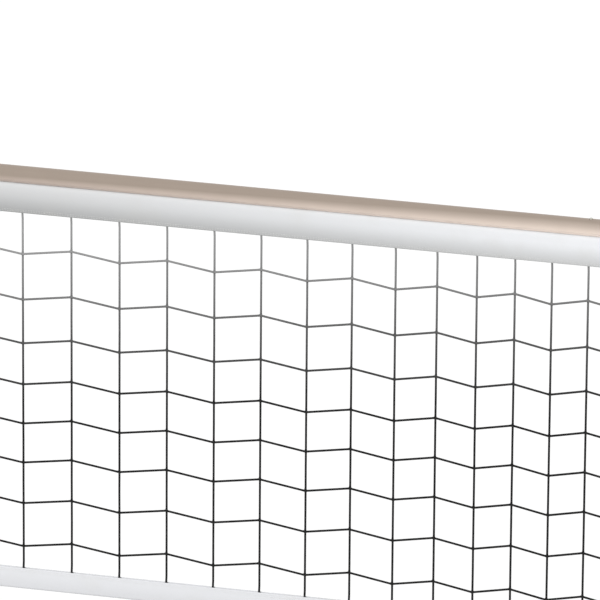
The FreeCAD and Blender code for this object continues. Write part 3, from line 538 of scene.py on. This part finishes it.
def tyre_rubber():
    """Solid rubber, lightly dusty."""
    finish = Finish("tyre_rubber")
    dust = finish.cloud(5 * mm, 5)
    finish.colour(finish.over("28282A", "55534F", dust, 0.45, 0.7, 0.35))
    finish.rough(dust, 0.55, 0.75)
    finish.bump(finish.cloud(0.7 * mm, 3), 0.04 * mm)
    return finish


def pad_rubber():
    """Ribbed rubber strip."""
    finish = Finish("pad_rubber")
    x, _, z = finish.axes()
    ribs = finish.ripple(x, 4 * mm)
    dust = finish.span(z, 9 * mm, 0, 0, 0.5)
    spots = finish.math("MULTIPLY", dust, finish.cloud(12 * mm, 5))
    finish.colour(finish.mix(spots, "27272A", "7A756C"))
    finish.rough(ribs, 0.8, 0.66, 0, 1)
    finish.bump(ribs, 0.5 * mm)
    finish.bump(finish.cloud(1 * mm, 3), 0.08 * mm)
    return finish


def ash_wood():
    """Ash, with its grain along the dowel."""
    finish = Finish("dowel_wood")
    grain = finish.cloud(2 * mm, 4, (1, 1, 0.03))
    pores = finish.cloud(0.5 * mm, 2, (1, 1, 0.02))
    base = finish.over("DCC39A", "C09C6C", grain, 0.35, 0.65)
    finish.colour(finish.over(base, "8A6A44", pores, 0.6, 0.7, 0.5))
    finish.rough(grain, 0.5, 0.62)
    finish.bump(pores, 0.05 * mm)
    return finish


def canvas(name, painted_shade=False):
    """White canvas, a plain weave under a thin coat. For the head band, painted shade greys it towards its
    foot.
    """
    finish = Finish(name, sheen_weight=0.12, sheen_roughness=0.5)
    u, v, _ = finish.axes("UV")
    warp = finish.ripple(u, 1.1 * mm)
    weft = finish.ripple(v, 1.1 * mm)
    over = finish.ripple(finish.math("ADD", u, v), 2.2 * mm)
    weave = finish.math("MAXIMUM", finish.math("MULTIPLY", warp, over), weft)
    soil = finish.cloud(120 * mm, 5)
    base = "E4E5E8"
    if painted_shade:
        # Painted shade: grey towards the head band's foot, from its top on the left and from lower down on
        # the right
        _, _, z = finish.axes()
        left_shade = finish.span(z, head_top, head_foot, smooth=False)
        right_shade = finish.span(z, head_top - band_shade_start, head_foot, smooth=False)
        left_tone = finish.mix(left_shade, "DFE0E1", "AFB0B0")
        right_tone = finish.mix(right_shade, "EFF1F4", "D1D2D2")
        base = finish.mix(finish.rightward(), left_tone, right_tone)
    finish.colour(finish.over(base, "CFCCC4", soil, 0.5, 0.8, 0.25))
    finish.rough(weave, 0.62, 0.5, 0, 1)
    finish.bump(weave, 0.05 * mm)
    finish.bump(finish.cloud(30 * mm, 3), 0.5 * mm)
    return finish


def net_cord():
    """Braided cord, black below and grey near the head band, the grey reaching further down on the left.
    """
    finish = Finish("net_cord", specular_ior_level=0.25, sheen_weight=0.03, sheen_roughness=0.5)
    braid = finish.braid(3 * mm, 1.2)
    _, _, z = finish.axes()
    start = finish.math("MULTIPLY_ADD", finish.rightward(), cord_fade_rise, head_foot - cord_fade)
    below = finish.math("SUBTRACT", start, z)
    tones = {0: "A8A8A8", 0.33: "7C7C7C", 0.5: "565656", 0.8: "141414", 1: "0A0A0A"}
    base = finish.ramp(below, 0, cord_fade_reach, tones)
    # Painted shade: the braid's grooves stay darker than its raised strands
    finish.colour(finish.over(base, "6A6A6A", braid, 0, 1, 0.04))
    finish.rough(braid, 0.85, 0.65, 0, 1)
    finish.bump(braid, 0.35 * mm)
    return finish


def braided(name, tone, dark, pitch):
    finish = Finish(name, sheen_weight=0.2, sheen_roughness=0.4)
    braid = finish.braid(pitch)
    # Painted shade: darker between the strands, where the braid's bump is low
    finish.colour(finish.mix(braid, dark, tone))
    finish.rough(braid, 0.85, 0.6, 0, 1)
    finish.bump(braid, 0.3 * mm)
    return finish


def webbing():
    """Flat webbing, finely ribbed and a little fuzzy."""
    finish = Finish("webbing", sheen_weight=0.25, sheen_roughness=0.4)
    u, v, _ = finish.axes("UV")
    ribs = finish.ripple(u, 1.5 * mm)
    yarns = finish.ripple(v, 1.9 * mm)
    weave = finish.math("MULTIPLY", ribs, finish.span(yarns, 0, 1, 0.5, 1))
    fuzz = finish.cloud(9 * mm, 5)
    # Painted shade: darker between the ribs and yarns, where the weave's bump is low
    base = finish.mix(weave, "232427", "3B3D41")
    finish.colour(finish.over(base, "55565A", fuzz, 0.5, 0.8, 0.3))
    finish.rough(weave, 0.85, 0.68, 0, 1)
    finish.bump(weave, 0.28 * mm)
    return finish


# Meshes

def in_scene(name, data):
    """A new object in the scene, from a mesh, light or camera."""
    made = bpy.data.objects.new(name, data)
    bpy.context.scene.collection.objects.link(made)
    return made


def running_length(points):
    lengths = [0.0]
    for a, b in zip(points, points[1:]):
        lengths.append(lengths[-1] + (b - a).length)
    return lengths


def walk(path, pitch, start=0.0):
    """Even places along a path, with its direction there, from start to as far before its end."""
    lengths = running_length(path)
    index = 0
    for k in range(int((lengths[-1] - 2 * start) / pitch + 1)):
        place = start + k * pitch
        while index < len(path) - 2 and lengths[index + 1] < place:
            index += 1
        run = path[index + 1] - path[index]
        yield path[index] + run * ((place - lengths[index]) / run.length), run.normalized()


def steps(low, high, step):
    """Even places from low to high, at most a step apart."""
    count = ceil((high - low) / step)
    return [low + (high - low) * i / count for i in range(count + 1)]


def turns(count):
    """Even angles round a full turn."""
    return [2 * pi * k / count for k in range(count)]


def smooth(share):
    """0 up to a share of 0 and 1 from a share of 1, with a smooth rise between them."""
    t = max(0.0, min(1.0, share))
    return t * t * (3 - 2 * t)


class Surface:
    """Grids of points gathered into one mesh. Its UV map is in metres, along and across each grid."""

    def __init__(self):
        self.points = []
        self.faces = []
        self.map = []

    def add(self, rows, tube=False):
        """Skins rows of points. A tube also joins each row's ends, and fills the first and last row."""
        first = len(self.points)
        count = len(rows[0])
        along = running_length([row[0] for row in rows])
        across = running_length([*rows[0], rows[0][0]])
        for row in rows:
            self.points += row
        for i in range(len(rows) - 1):
            for j in range(count if tube else count - 1):
                near = first + i * count
                k = (j + 1) % count
                self.faces.append((near + j, near + k, near + count + k, near + count + j))
                corners = ((i, j), (i, j + 1), (i + 1, j + 1), (i + 1, j))
                self.map += [(along[a], across[b]) for a, b in corners]
        if tube:
            last = first + (len(rows) - 1) * count
            self.faces.append(tuple(reversed(range(first, first + count))))
            self.faces.append(tuple(range(last, last + count)))
            self.map += [(along[0], across[j]) for j in reversed(range(count))]
            self.map += [(along[-1], across[j]) for j in range(count)]

    def piece(self, name, slot, finish=None, body="net_frame"):
        """The mesh as a smooth piece on a body, in its slot's finish or in the one named."""
        mesh = bpy.data.meshes.new(name)
        mesh.from_pydata(self.points, [], self.faces)
        layer = mesh.uv_layers.new(name="cloth")
        layer.data.foreach_set("uv", [value for pair in self.map for value in pair])
        work = bmesh.new()
        work.from_mesh(mesh)
        bmesh.ops.recalc_face_normals(work, faces=work.faces)
        work.to_mesh(mesh)
        work.free()
        mesh.shade_smooth()
        mesh.materials.append(finishes[finish or slot])
        made = in_scene(name, mesh)
        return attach(made, body)


def heading(path, i):
    """The way a path runs at its point i."""
    return (path[min(i + 1, len(path) - 1)] - path[max(i - 1, 0)]).normalized()


def tube_rows(path, radii, sides):
    """Rings round a path, each square to it, which don't spin as the path turns."""
    rows = []
    side = None
    for i, point in enumerate(path):
        ahead = heading(path, i)
        if side is None:
            side = ahead.orthogonal().normalized()
        side = (side - ahead * side.dot(ahead)).normalized()
        up = ahead.cross(side)
        rows.append([point + radii[i] * (cos(a) * side + sin(a) * up) for a in turns(sides)])
    return rows


def flat_ring(middle, out, across):
    """A flat strip's section, from its middle and the ways to its face and its edge."""
    return [middle + out * rise + across * reach for reach, rise in flat_section]


def stitch_rows(centre, ahead, up):
    """A stitch that runs ahead on cloth that faces up, half sunk in it."""
    across = ahead.cross(up).normalized()
    rows = []
    for along, girth, rise in stitch_shape:
        point = centre + ahead * along * stitch_length + up * rise * thread_radius
        radius = thread_radius * girth
        rows.append([point + way * radius for way in (across, up, -across, -up)])
    return rows


def stitching(name, paths, finish="thread", slot="band_canvas"):
    """Rows of stitches as one piece, along paths given as (side of the net's plane, points)."""
    surface = Surface()
    for side, path in paths:
        for centre, ahead in walk(path, stitch_pitch, stitch_pitch / 2):
            surface.add(stitch_rows(centre, ahead, Vector((0, side, 0))), tube=True)
    return surface.piece(name, slot, finish)


# The netting

def column_x(index):
    even = index * mesh_size
    drift = mesh_drift * cos(1.5 * pi * even / mesh_half)
    slip = mesh_slip * sin(2 * pi * (even - slip_start) / slip_length)
    return even + drift + slip


def knot_z(index, row):
    low = knot_drop if index % 2 == 0 else 0
    sag = row_sag * sin(pi * row / sag_rows)
    return first_row - row * mesh_size - low - sag


def upright_cord(index):
    """An upright cord behind the level ones, swollen where they pass through each other."""
    x = column_x(index)
    stations = [(foot_band_top - into, share * cord_spread, cord_radius) for into, share in cord_leads]
    for row in reversed(range(row_count)):
        z = knot_z(index, row)
        for place, share, radius in crossing_shape:
            stations.append((z + place * crossing_length / 2, share * cord_spread, radius))
        bow = cord_bow * noise.noise(Vector((index * 3.1, row * 1.7, 0)))
        stations.append((z + mesh_size / 2, cord_spread + bow, cord_radius))
    stations.pop()
    for into, share in reversed(cord_leads):
        stations.append((head_foot + into, share * cord_spread, cord_radius))
    path = [Vector((x, y, z)) for z, y, _ in stations]
    return tube_rows(path, [radius for _, _, radius in stations], cord_sides)


def level_cord(row):
    """A level cord, which zigzags from knot to knot in front of the upright cords."""
    end_z = knot_z(0, row) + knot_drop / 2
    knots = [Vector((column_x(index), -cord_spread, knot_z(index, row))) for index in columns]
    start, end = (
        [Vector((hand * (mesh_half + into), -share * cord_spread, end_z)) for into, share in cord_leads]
        for hand in (-1, 1)
    )
    path = list(start)
    radii = [cord_radius] * len(start)
    anchors = [start[-1], *knots, end[-1]]
    for before, knot, after in zip(anchors, anchors[1:], anchors[2:]):
        for place, share, radius in crossing_shape:
            ahead = knot - before if place < 0 else after - knot
            point = knot + ahead.normalized() * place * crossing_length / 2
            path.append(Vector((point.x, share * point.y, point.z)))
            radii.append(radius)
    path += reversed(end)
    radii += [cord_radius] * len(end)
    return tube_rows(path, radii, cord_sides)


def netting():
    surface = Surface()
    for index in columns:
        surface.add(upright_cord(index), tube=True)
    for row in range(row_count):
        surface.add(level_cord(row), tube=True)
    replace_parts(surface.piece("netting", "net_cord"), "upright_cords", "level_cords")


# The bands

def canvas_band(name, node, rows, finish=None):
    """A band's folded cloth in a node's place, from its sections along it."""
    surface = Surface()
    surface.add(rows)
    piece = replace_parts(surface.piece(name, "band_canvas", finish), node)
    made = piece.modifiers.new("thickness", "SOLIDIFY")
    made.thickness = canvas_thickness
    made.offset = 0


def turned_hem(edge, way):
    """A hem, as (off the net's plane, place), from the turned cloth's end to the band's edge."""
    return [
        (hem_gap, edge + way * hem_turn),
        (hem_gap, edge + way * 4 * mm),
        (hem_gap + 0.05 * mm, edge + way * 0.9 * mm),
        (hem_gap + 0.45 * mm, edge + way * 0.35 * mm),
    ]


def folded(half, places):
    """A folded band's sections at those places: along one leaf to its fold, back on the other."""
    return [half(place, -1) + half(place, 1)[-2::-1] for place in places]


def hem_paths(face, edge, way):
    """Where thread runs along the head or foot band, on both its faces."""
    places = steps(-net_half + thread_end, net_half - thread_end, band_step)
    return [
        (side, [Vector((x, side * (face(x, z, side) + canvas_half), z)) for x in places])
        for side in (-1, 1)
        for z in (edge + way * seam for seam in hem_seams)
    ]


def pucker(along, across, side, depth=0.45 * mm):
    """The small gathers that a seam draws into the cloth beside it."""
    gather = noise.noise(Vector((along / pucker_pitch, side * 7.3, 0.5)))
    return depth * gather * exp(-abs(across) / pucker_reach)


def swell(along, side, depth=0.7 * mm):
    return depth * noise.noise(Vector((along / swell_pitch, side * 3.7, 2.5)))


def head_face(x, z, side):
    """How far the head band's cloth stands from the net's plane, at a place on it."""
    share = (z - head_foot) / (head_top - head_foot)
    bow = (head_bow + swell(x, side)) * sin(pi * share)
    shoulder = head_shoulder * smooth((share - shoulder_start) / (1 - shoulder_start))
    ends = smooth((net_half - abs(x)) / taper_reach)
    seam = z - head_foot - hem_seams[0]
    return hem_half + (bow + shoulder) * ends + pucker(x, seam, side)


def head_half(x, side):
    """One leaf of the head band, from the end of its turned hem up to the top of the bead."""
    points = turned_hem(head_foot, 1)
    rise = head_top - head_foot
    for share in (0.016, 0.05, 0.1, 0.18, 0.27, 0.36, 0.45, 0.54, 0.63, 0.72, 0.81, 0.89, 0.95, 0.985):
        z = head_foot + share * rise
        points.append((head_face(x, z, side), z))
    edge = head_face(x, head_top, side)
    for share in (0.96, 0.75, 0.5, 0.25):
        y = share * edge
        points.append((y, pole_axis - sqrt((pole_radius + band_clearance) ** 2 - y ** 2)))
    points += [(web_half + 0.2 * mm, head_top + 0.3 * mm), (web_half, head_top + 1.2 * mm)]
    for angle in (-68, -45, -20, 10, 40, 65):
        turn = radians(angle)
        points.append((bead_radius * cos(turn), bead_z + bead_radius * sin(turn)))
    points.append((0, bead_z + bead_radius))
    return [Vector((x, side * y, z)) for y, z in points]


def head_band():
    """One cut of canvas, folded over the bolt rope, with its two hems closed on the netting."""
    rows = folded(head_half, steps(-net_half, net_half, band_step))
    thread = stitching("head_stitching", hem_paths(head_face, head_foot, 1))
    canvas_band("head_band", "top_band", rows, "head_canvas")


def foot_face(x, z, side):
    """How far the foot band's cloth stands from the net's plane."""
    share = (z - net_foot) / (foot_band_top - net_foot)
    bow = (foot_bow + swell(x, side + 5, 0.4 * mm)) * sin(pi * share)
    return hem_half + bow + pucker(x, z - foot_band_top + hem_seams[0], side + 5)


def foot_half(x, side):
    """One leaf of the foot band, from the end of its turned hem down to its fold."""
    points = turned_hem(foot_band_top, -1)
    rise = foot_band_top - net_foot
    for share in (0.98, 0.94, 0.88, 0.8, 0.7, 0.6, 0.5, 0.4, 0.3, 0.2, 0.12, 0.05):
        z = net_foot + share * rise
        points.append((foot_face(x, z, side), z))
    points += [(2 * mm, net_foot + 0.8 * mm), (0.9 * mm, net_foot + 0.4 * mm), (0, net_foot + canvas_half)]
    return [Vector((x, side * y, z)) for y, z in points]


def foot_band():
    """Canvas folded up round the foot rope, with its hems closed on the netting."""
    rows = folded(foot_half, steps(-net_half, net_half, band_step))
    thread = stitching("foot_stitching", hem_paths(foot_face, foot_band_top, -1))
    canvas_band("foot_band", "bottom_band", rows)


def side_face(across, z):
    """How far a side band's cloth stands from the net's plane, across its width from the mesh."""
    away = abs(across - side_width / 2)
    pocket = pocket_bow * (1 + cos(pi * min(1.0, away / pocket_reach))) / 2
    return side_half_thickness + pocket + pucker(z, away - pocket_seam, 11, 0.25 * mm)


def side_half(z, side):
    """One leaf of a side band, from the end of its turned hem out to its fold."""
    points = [(across, y) for y, across in turned_hem(0, 1)]
    for across in (1.2, 4, 8, 12, 14, 16.5, 19, 21, 23, 25, 27, 29, 31, 33.5, 36, 38, 42, 46, 48.5):
        points.append((across * mm, side_face(across * mm, z)))
    points += [(side_width - 0.5 * mm, 1.9 * mm), (side_width - canvas_half, 0)]
    return [Vector((mesh_half + across, side * y, z)) for across, y in points]


def side_band(hand):
    """An end band, folded round the dowel, with its hems closed on the level cords."""
    name = side_names[hand]
    node = f"side_band_{name}"
    low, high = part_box(node)
    rows = []
    for section in folded(side_half, steps(low.z, high.z, band_step)):
        rows.append([Vector((hand * point.x, point.y, point.z)) for point in section])
    places = steps(low.z + thread_end, high.z - thread_end, band_step)
    paths = []
    for side in (-1, 1):
        for across in side_seams:
            x = hand * (mesh_half + across)
            face = [Vector((x, side * (side_face(across, z) + canvas_half), z)) for z in places]
            paths.append((side, face))
    thread = stitching(f"side_stitching_{name}", paths)
    canvas_band(f"{node}_canvas", node, rows)


# Ropes

def laid_rope(name, node, radius):
    """A rope along a node's middle, its strands turning about each other."""
    low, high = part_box(node)
    middle = (low + high) / 2
    rows = []
    for x in steps(low.x, high.x, rope_step):
        turn = 2 * pi * x / rope_lay
        ring = []
        for angle in turns(rope_sides):
            lobe = radius * (1 - rope_groove + rope_groove * cos(rope_strands * (angle - turn)))
            ring.append(Vector((x, middle.y + lobe * cos(angle), middle.z + lobe * sin(angle))))
        rows.append(ring)
    surface = Surface()
    surface.add(rows, tube=True)
    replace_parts(surface.piece(name, "rope"), node)


# Straps

def strap_wrap(radius, face, start, shares):
    """Points from an angle on a post of that radius, round it and along the run to the net's edge."""
    edge = Vector((net_half - post_x, face, 0))
    leave = atan2(edge.y, edge.x) - acos(radius / edge.length)
    arc = [Vector((radius * cos(a), radius * sin(a), 0)) for a in steps(start, leave, 0.12)]
    return arc + [arc[-1].lerp(edge, share) for share in shares]


def mirrored(path):
    return [Vector((point.x, -point.y, 0)) for point in path]


def strap_path():
    """The middle line of a strap from tail to tail, as (outward, y) from the upright's axis."""
    half = strap_wrap(strap_post_radius, strap_face, 0, (0.2, 0.4, 0.6, 0.8, 0.93))
    for back in (strap_landing, strap_tail / 2, strap_tail):
        half.append(Vector((net_half - post_x - back, strap_face, 0)))
    return mirrored(reversed(half)) + half[1:]


def flap_path():
    """The middle line of the flap that closes a strap: off the post's far side, over its front run."""
    radius = strap_post_radius + strap_thickness
    face = strap_face + strap_thickness
    return mirrored(strap_wrap(radius, face, -0.3, (0.15, 0.3, 0.45, 0.6, 0.72)))


def strap_rows(path, z, hand, seed):
    """A strap along a path, as rows of points round its flat section."""
    rows = []
    up = Vector((0, 0, 1))
    for i, point in enumerate(path):
        out = heading(path, i).cross(up) * strap_thickness / 2
        height = z + strap_waver * noise.noise(Vector((i * 0.35, seed, 4)))
        ring = flat_ring(point + up * height, out, up * strap_width / 2)
        rows.append([Vector((hand * (post_x + place.x), place.y, place.z)) for place in ring])
    return rows


def tail_seams(z, hand):
    """The paths of a sewn box with a cross in it, on both tails of a strap."""
    near_inset, far_inset, side_inset = sewn_box_insets
    near = hand * (net_half - near_inset)
    far = hand * (net_half - strap_tail + far_inset)
    rise = strap_width / 2 - side_inset
    paths = []
    for side in (-1, 1):
        y = side * (strap_face + strap_thickness / 2)
        places = ((near, -1), (near, 1), (far, 1), (far, -1))
        corners = [Vector((x, y, z + way * rise)) for x, way in places]
        runs = [*zip(corners, corners[1:] + corners[:1]), corners[0::2], corners[1::2]]
        paths += [(side, run) for run in runs]
    return paths


def side_straps(hand):
    """The webbing straps between a side band and its post, with their flaps and seams."""
    name = side_names[hand]
    node = f"side_straps_{name}"
    low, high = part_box(node)
    room = high.z - low.z - strap_width
    heights = [low.z + strap_width / 2 + room * i / (strap_count - 1) for i in range(strap_count)]
    paths = (strap_path(), flap_path())
    surface = Surface()
    seams = []
    for i, z in enumerate(heights):
        for path in paths:
            surface.add(strap_rows(path, z, hand, i + 10 * hand), tube=True)
        seams += tail_seams(z, hand)
    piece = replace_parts(surface.piece(f"strap_webbing_{name}", "webbing"), node)
    thread = stitching(f"strap_stitching_{name}", seams, "strap_thread", "webbing")


# Springs

def leaf_spring(number):
    """The bent leaf under a snap button, built as it rests, in a mesh of its own; the real leaf flattens
    as the button goes in.
    """
    node = f"button_spring_{number}"
    low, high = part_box(node)
    hand = copysign(1, low.x)
    near, tip = sorted((abs(low.x), abs(high.x)))
    across = Vector((0, (high.y - low.y) / 2, 0))
    half_thick = leaf_thickness / 2
    radius = (high.z - low.z) / 2 - half_thick
    bend = near + half_thick + radius
    rows = []
    for x, turn in [(tip, 0), *((bend, a) for a in steps(0, pi, 0.2)), (tip, pi)]:
        out = Vector((-hand * sin(turn), 0, cos(turn)))
        middle = Vector((hand * x, 0, (low.z + high.z) / 2)) + out * radius
        rows.append(flat_ring(middle, out * half_thick, across))
    surface = Surface()
    surface.add(rows, tube=True)
    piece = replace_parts(surface.piece(f"leaf_{number}", "spring_steel"), node)
    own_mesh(piece)


# Weld beads on the bases

def weld(surface, path):
    """A rippled fillet bead along a path, thinner at its ends."""
    dense = [point for point, _ in walk(path, weld_step)]
    radii = []
    for k in range(len(dense)):
        taper = min(1.0, (min(k, len(dense) - 1 - k) + 1) / weld_taper)
        swing = sum(height * sin(turn * k) for height, turn in weld_waves)
        radii.append((weld_radius + swing) * taper)
    surface.add(tube_rows(dense, radii, weld_sides), tube=True)


def base_welds(hand):
    """Beads round the socket's foot and along both sides of each gusset and wheel lug."""
    surface = Surface()
    foot = plate_top + weld_throat
    ring = socket_radius + weld_throat

    def place(x, y, z):
        return Vector((hand * (post_x + x), y, z))

    gap = asin((gusset_half + weld_clear) / socket_radius)
    for turn in turns(4):
        arc = steps(turn + gap, turn + pi / 2 - gap, 0.08)
        weld(surface, [place(ring * cos(a), ring * sin(a), foot) for a in arc])
        out = Vector((cos(turn), sin(turn)))
        side = Vector((-out.y, out.x))
        for way in (-1, 1):
            face = side * way * (gusset_half + weld_throat)
            near = out * (socket_radius + weld_clear) + face
            far = out * (socket_radius + gusset_reach - weld_inset) + face
            weld(surface, [place(near.x, near.y, foot), place(far.x, far.y, foot)])
            root = out * ring + face
            top = plate_top + gusset_height - weld_inset
            weld(surface, [place(root.x, root.y, foot + weld_clear), place(root.x, root.y, top)])
    for wheel in (-wheel_y, wheel_y):
        for face in (-lug_face - weld_throat, lug_face + weld_throat):
            ends = (lug_start + 2 * weld_inset, lug_end - 2 * weld_inset)
            weld(surface, [place(x, wheel + face, foot) for x in ends])
    surface.piece(f"weld_beads_{side_names[hand]}", "base_steel", "weld_coat", "stands")


# The stage

def direction(azimuth, elevation):
    """The way towards those angles in degrees. Azimuth 0 is in front, and 90 is along +X."""
    turn, rise = radians(azimuth), radians(elevation)
    return Vector((sin(turn) * cos(rise), -cos(turn) * cos(rise), sin(rise)))


def background_rays(tree):
    """1 for rays that see the background: from the camera, or by gloss or glass."""
    rays = tree.node("LightPath", {}).outputs
    seen = tree.math("MAXIMUM", rays["Is Camera Ray"], rays["Is Glossy Ray"])
    return tree.math("MAXIMUM", seen, rays["Is Transmission Ray"])


def make_world():
    """Even white light from all round, and a pure white background."""
    world = bpy.data.worlds.new("studio")
    tree = Tree(world)
    strength = tree.math("MULTIPLY_ADD", background_rays(tree), 1 - ambient_strength, ambient_strength)
    background = tree.nodes["Background"]
    tree.put(background.inputs["Color"], (1, 1, 1, 1))
    tree.put(background.inputs["Strength"], strength)
    bpy.context.scene.world = world


def make_floor():
    """A pale floor that takes the object's shadow and looks white to the camera where lit."""
    mesh = bpy.data.meshes.new("floor")
    h = floor_half
    mesh.from_pydata([(-h, -h, 0), (h, -h, 0), (h, h, 0), (-h, h, 0)], [], [(0, 1, 2, 3)])
    floor = in_scene("floor", mesh)
    finish = Finish("floor", roughness=1, specular_ior_level=0)
    finish.colour((floor_tone, floor_tone, floor_tone, 1))
    strength = finish.math("MULTIPLY", background_rays(finish), floor_glow)
    glow = finish.node("Emission", {"Strength": strength}).outputs["Emission"]
    both = finish.node("AddShader", {0: finish.shader.outputs["BSDF"], 1: glow})
    finish.put(finish.nodes["Material Output"].inputs["Surface"], both.outputs["Shader"])
    mesh.materials.append(finish.material)


def facing(data, back, place=(0, 0, 0), roll=0.0):
    """Puts a camera or light in the scene with its back that way, rolled by degrees."""
    made = in_scene(data.name, data)
    turn = back.to_track_quat("Z", "Y") @ Quaternion((0, 0, 1), radians(roll))
    made.matrix_world = Matrix.LocRotScale(Vector(place), turn, None)
    return made


def make_key_light():
    """One broad, soft light from the upper left, in front of the net."""
    data = bpy.data.lights.new("key", "SUN")
    data.energy = key_strength
    data.angle = radians(key_softness)
    light = facing(data, direction(key_azimuth, key_elevation))
    light.visible_glossy = False


def make_camera():
    data = bpy.data.cameras.new("camera")
    data.lens = camera_lens
    data.clip_start = 0.5
    data.clip_end = 400
    back = direction(camera_azimuth, camera_elevation)
    place = camera_target + back * camera_distance
    bpy.context.scene.camera = facing(data, back, place, camera_roll)


def make_finishes():
    """A material for each of the record's slots, and those that only some pieces have."""
    made = [
        pole_finish(),
        brushed_aluminium("post_aluminium"),
        brushed_aluminium("marked_aluminium", marked=True),
        powder_coat("cast_joint", "2F3034", "4A4B4F", casting_rims, 1.4 * mm, 0.12 * mm),
        powder_coat("base_steel", "3A3C3F", "616367", plate_edges),
        weld_coat(),
        hammered_enamel(),
        zinc_plate(),
        spring_steel(),
        canvas("band_canvas"),
        canvas("head_canvas", painted_shade=True),
        braided("thread", "F2F2F0", "D8D8D6", 0.8 * mm),
        net_cord(),
        braided("rope", "E4DED2", "BDB5A6", 4 * mm),
        webbing(),
        braided("strap_thread", "8A8B8E", "55565A", 0.8 * mm),
        ash_wood(),
        natural_nylon(),
        moulded_plastic("lever_plastic", "1B1B1D", "2C2C2F"),
        moulded_plastic("knob_plastic", "1D1D1F", "303033", 0.36),
        moulded_plastic("rim_plastic", "A9ABAE", "B9BBBE"),
        tyre_rubber(),
        pad_rubber(),
    ]
    return {finish.name: finish.material for finish in made}


def dress_nodes():
    """Gives every CAD node its slot's finish, and the sliding tubes their height marks."""
    for part in frame["record"]["subparts"]:
        name = part["node"]
        finish = "marked_aluminium" if name.startswith("upper_tube") else part["material_slot"]
        mesh = frame["nodes"][name].data
        mesh.materials.clear()
        mesh.materials.append(finishes[finish])


bpy.context.scene.view_settings.view_transform = "Standard"
make_camera()
make_world()
make_floor()
make_key_light()
finishes = make_finishes()
dress_nodes()

netting()
head_band()
foot_band()
laid_rope("bolt_rope_laid", "bolt_rope", bolt_rope_radius)
laid_rope("foot_rope_laid", "foot_rope", foot_rope_radius)
for hand in side_names:
    side_band(hand)
    side_straps(hand)
    base_welds(hand)
for number in (1, 2):
    leaf_spring(number)
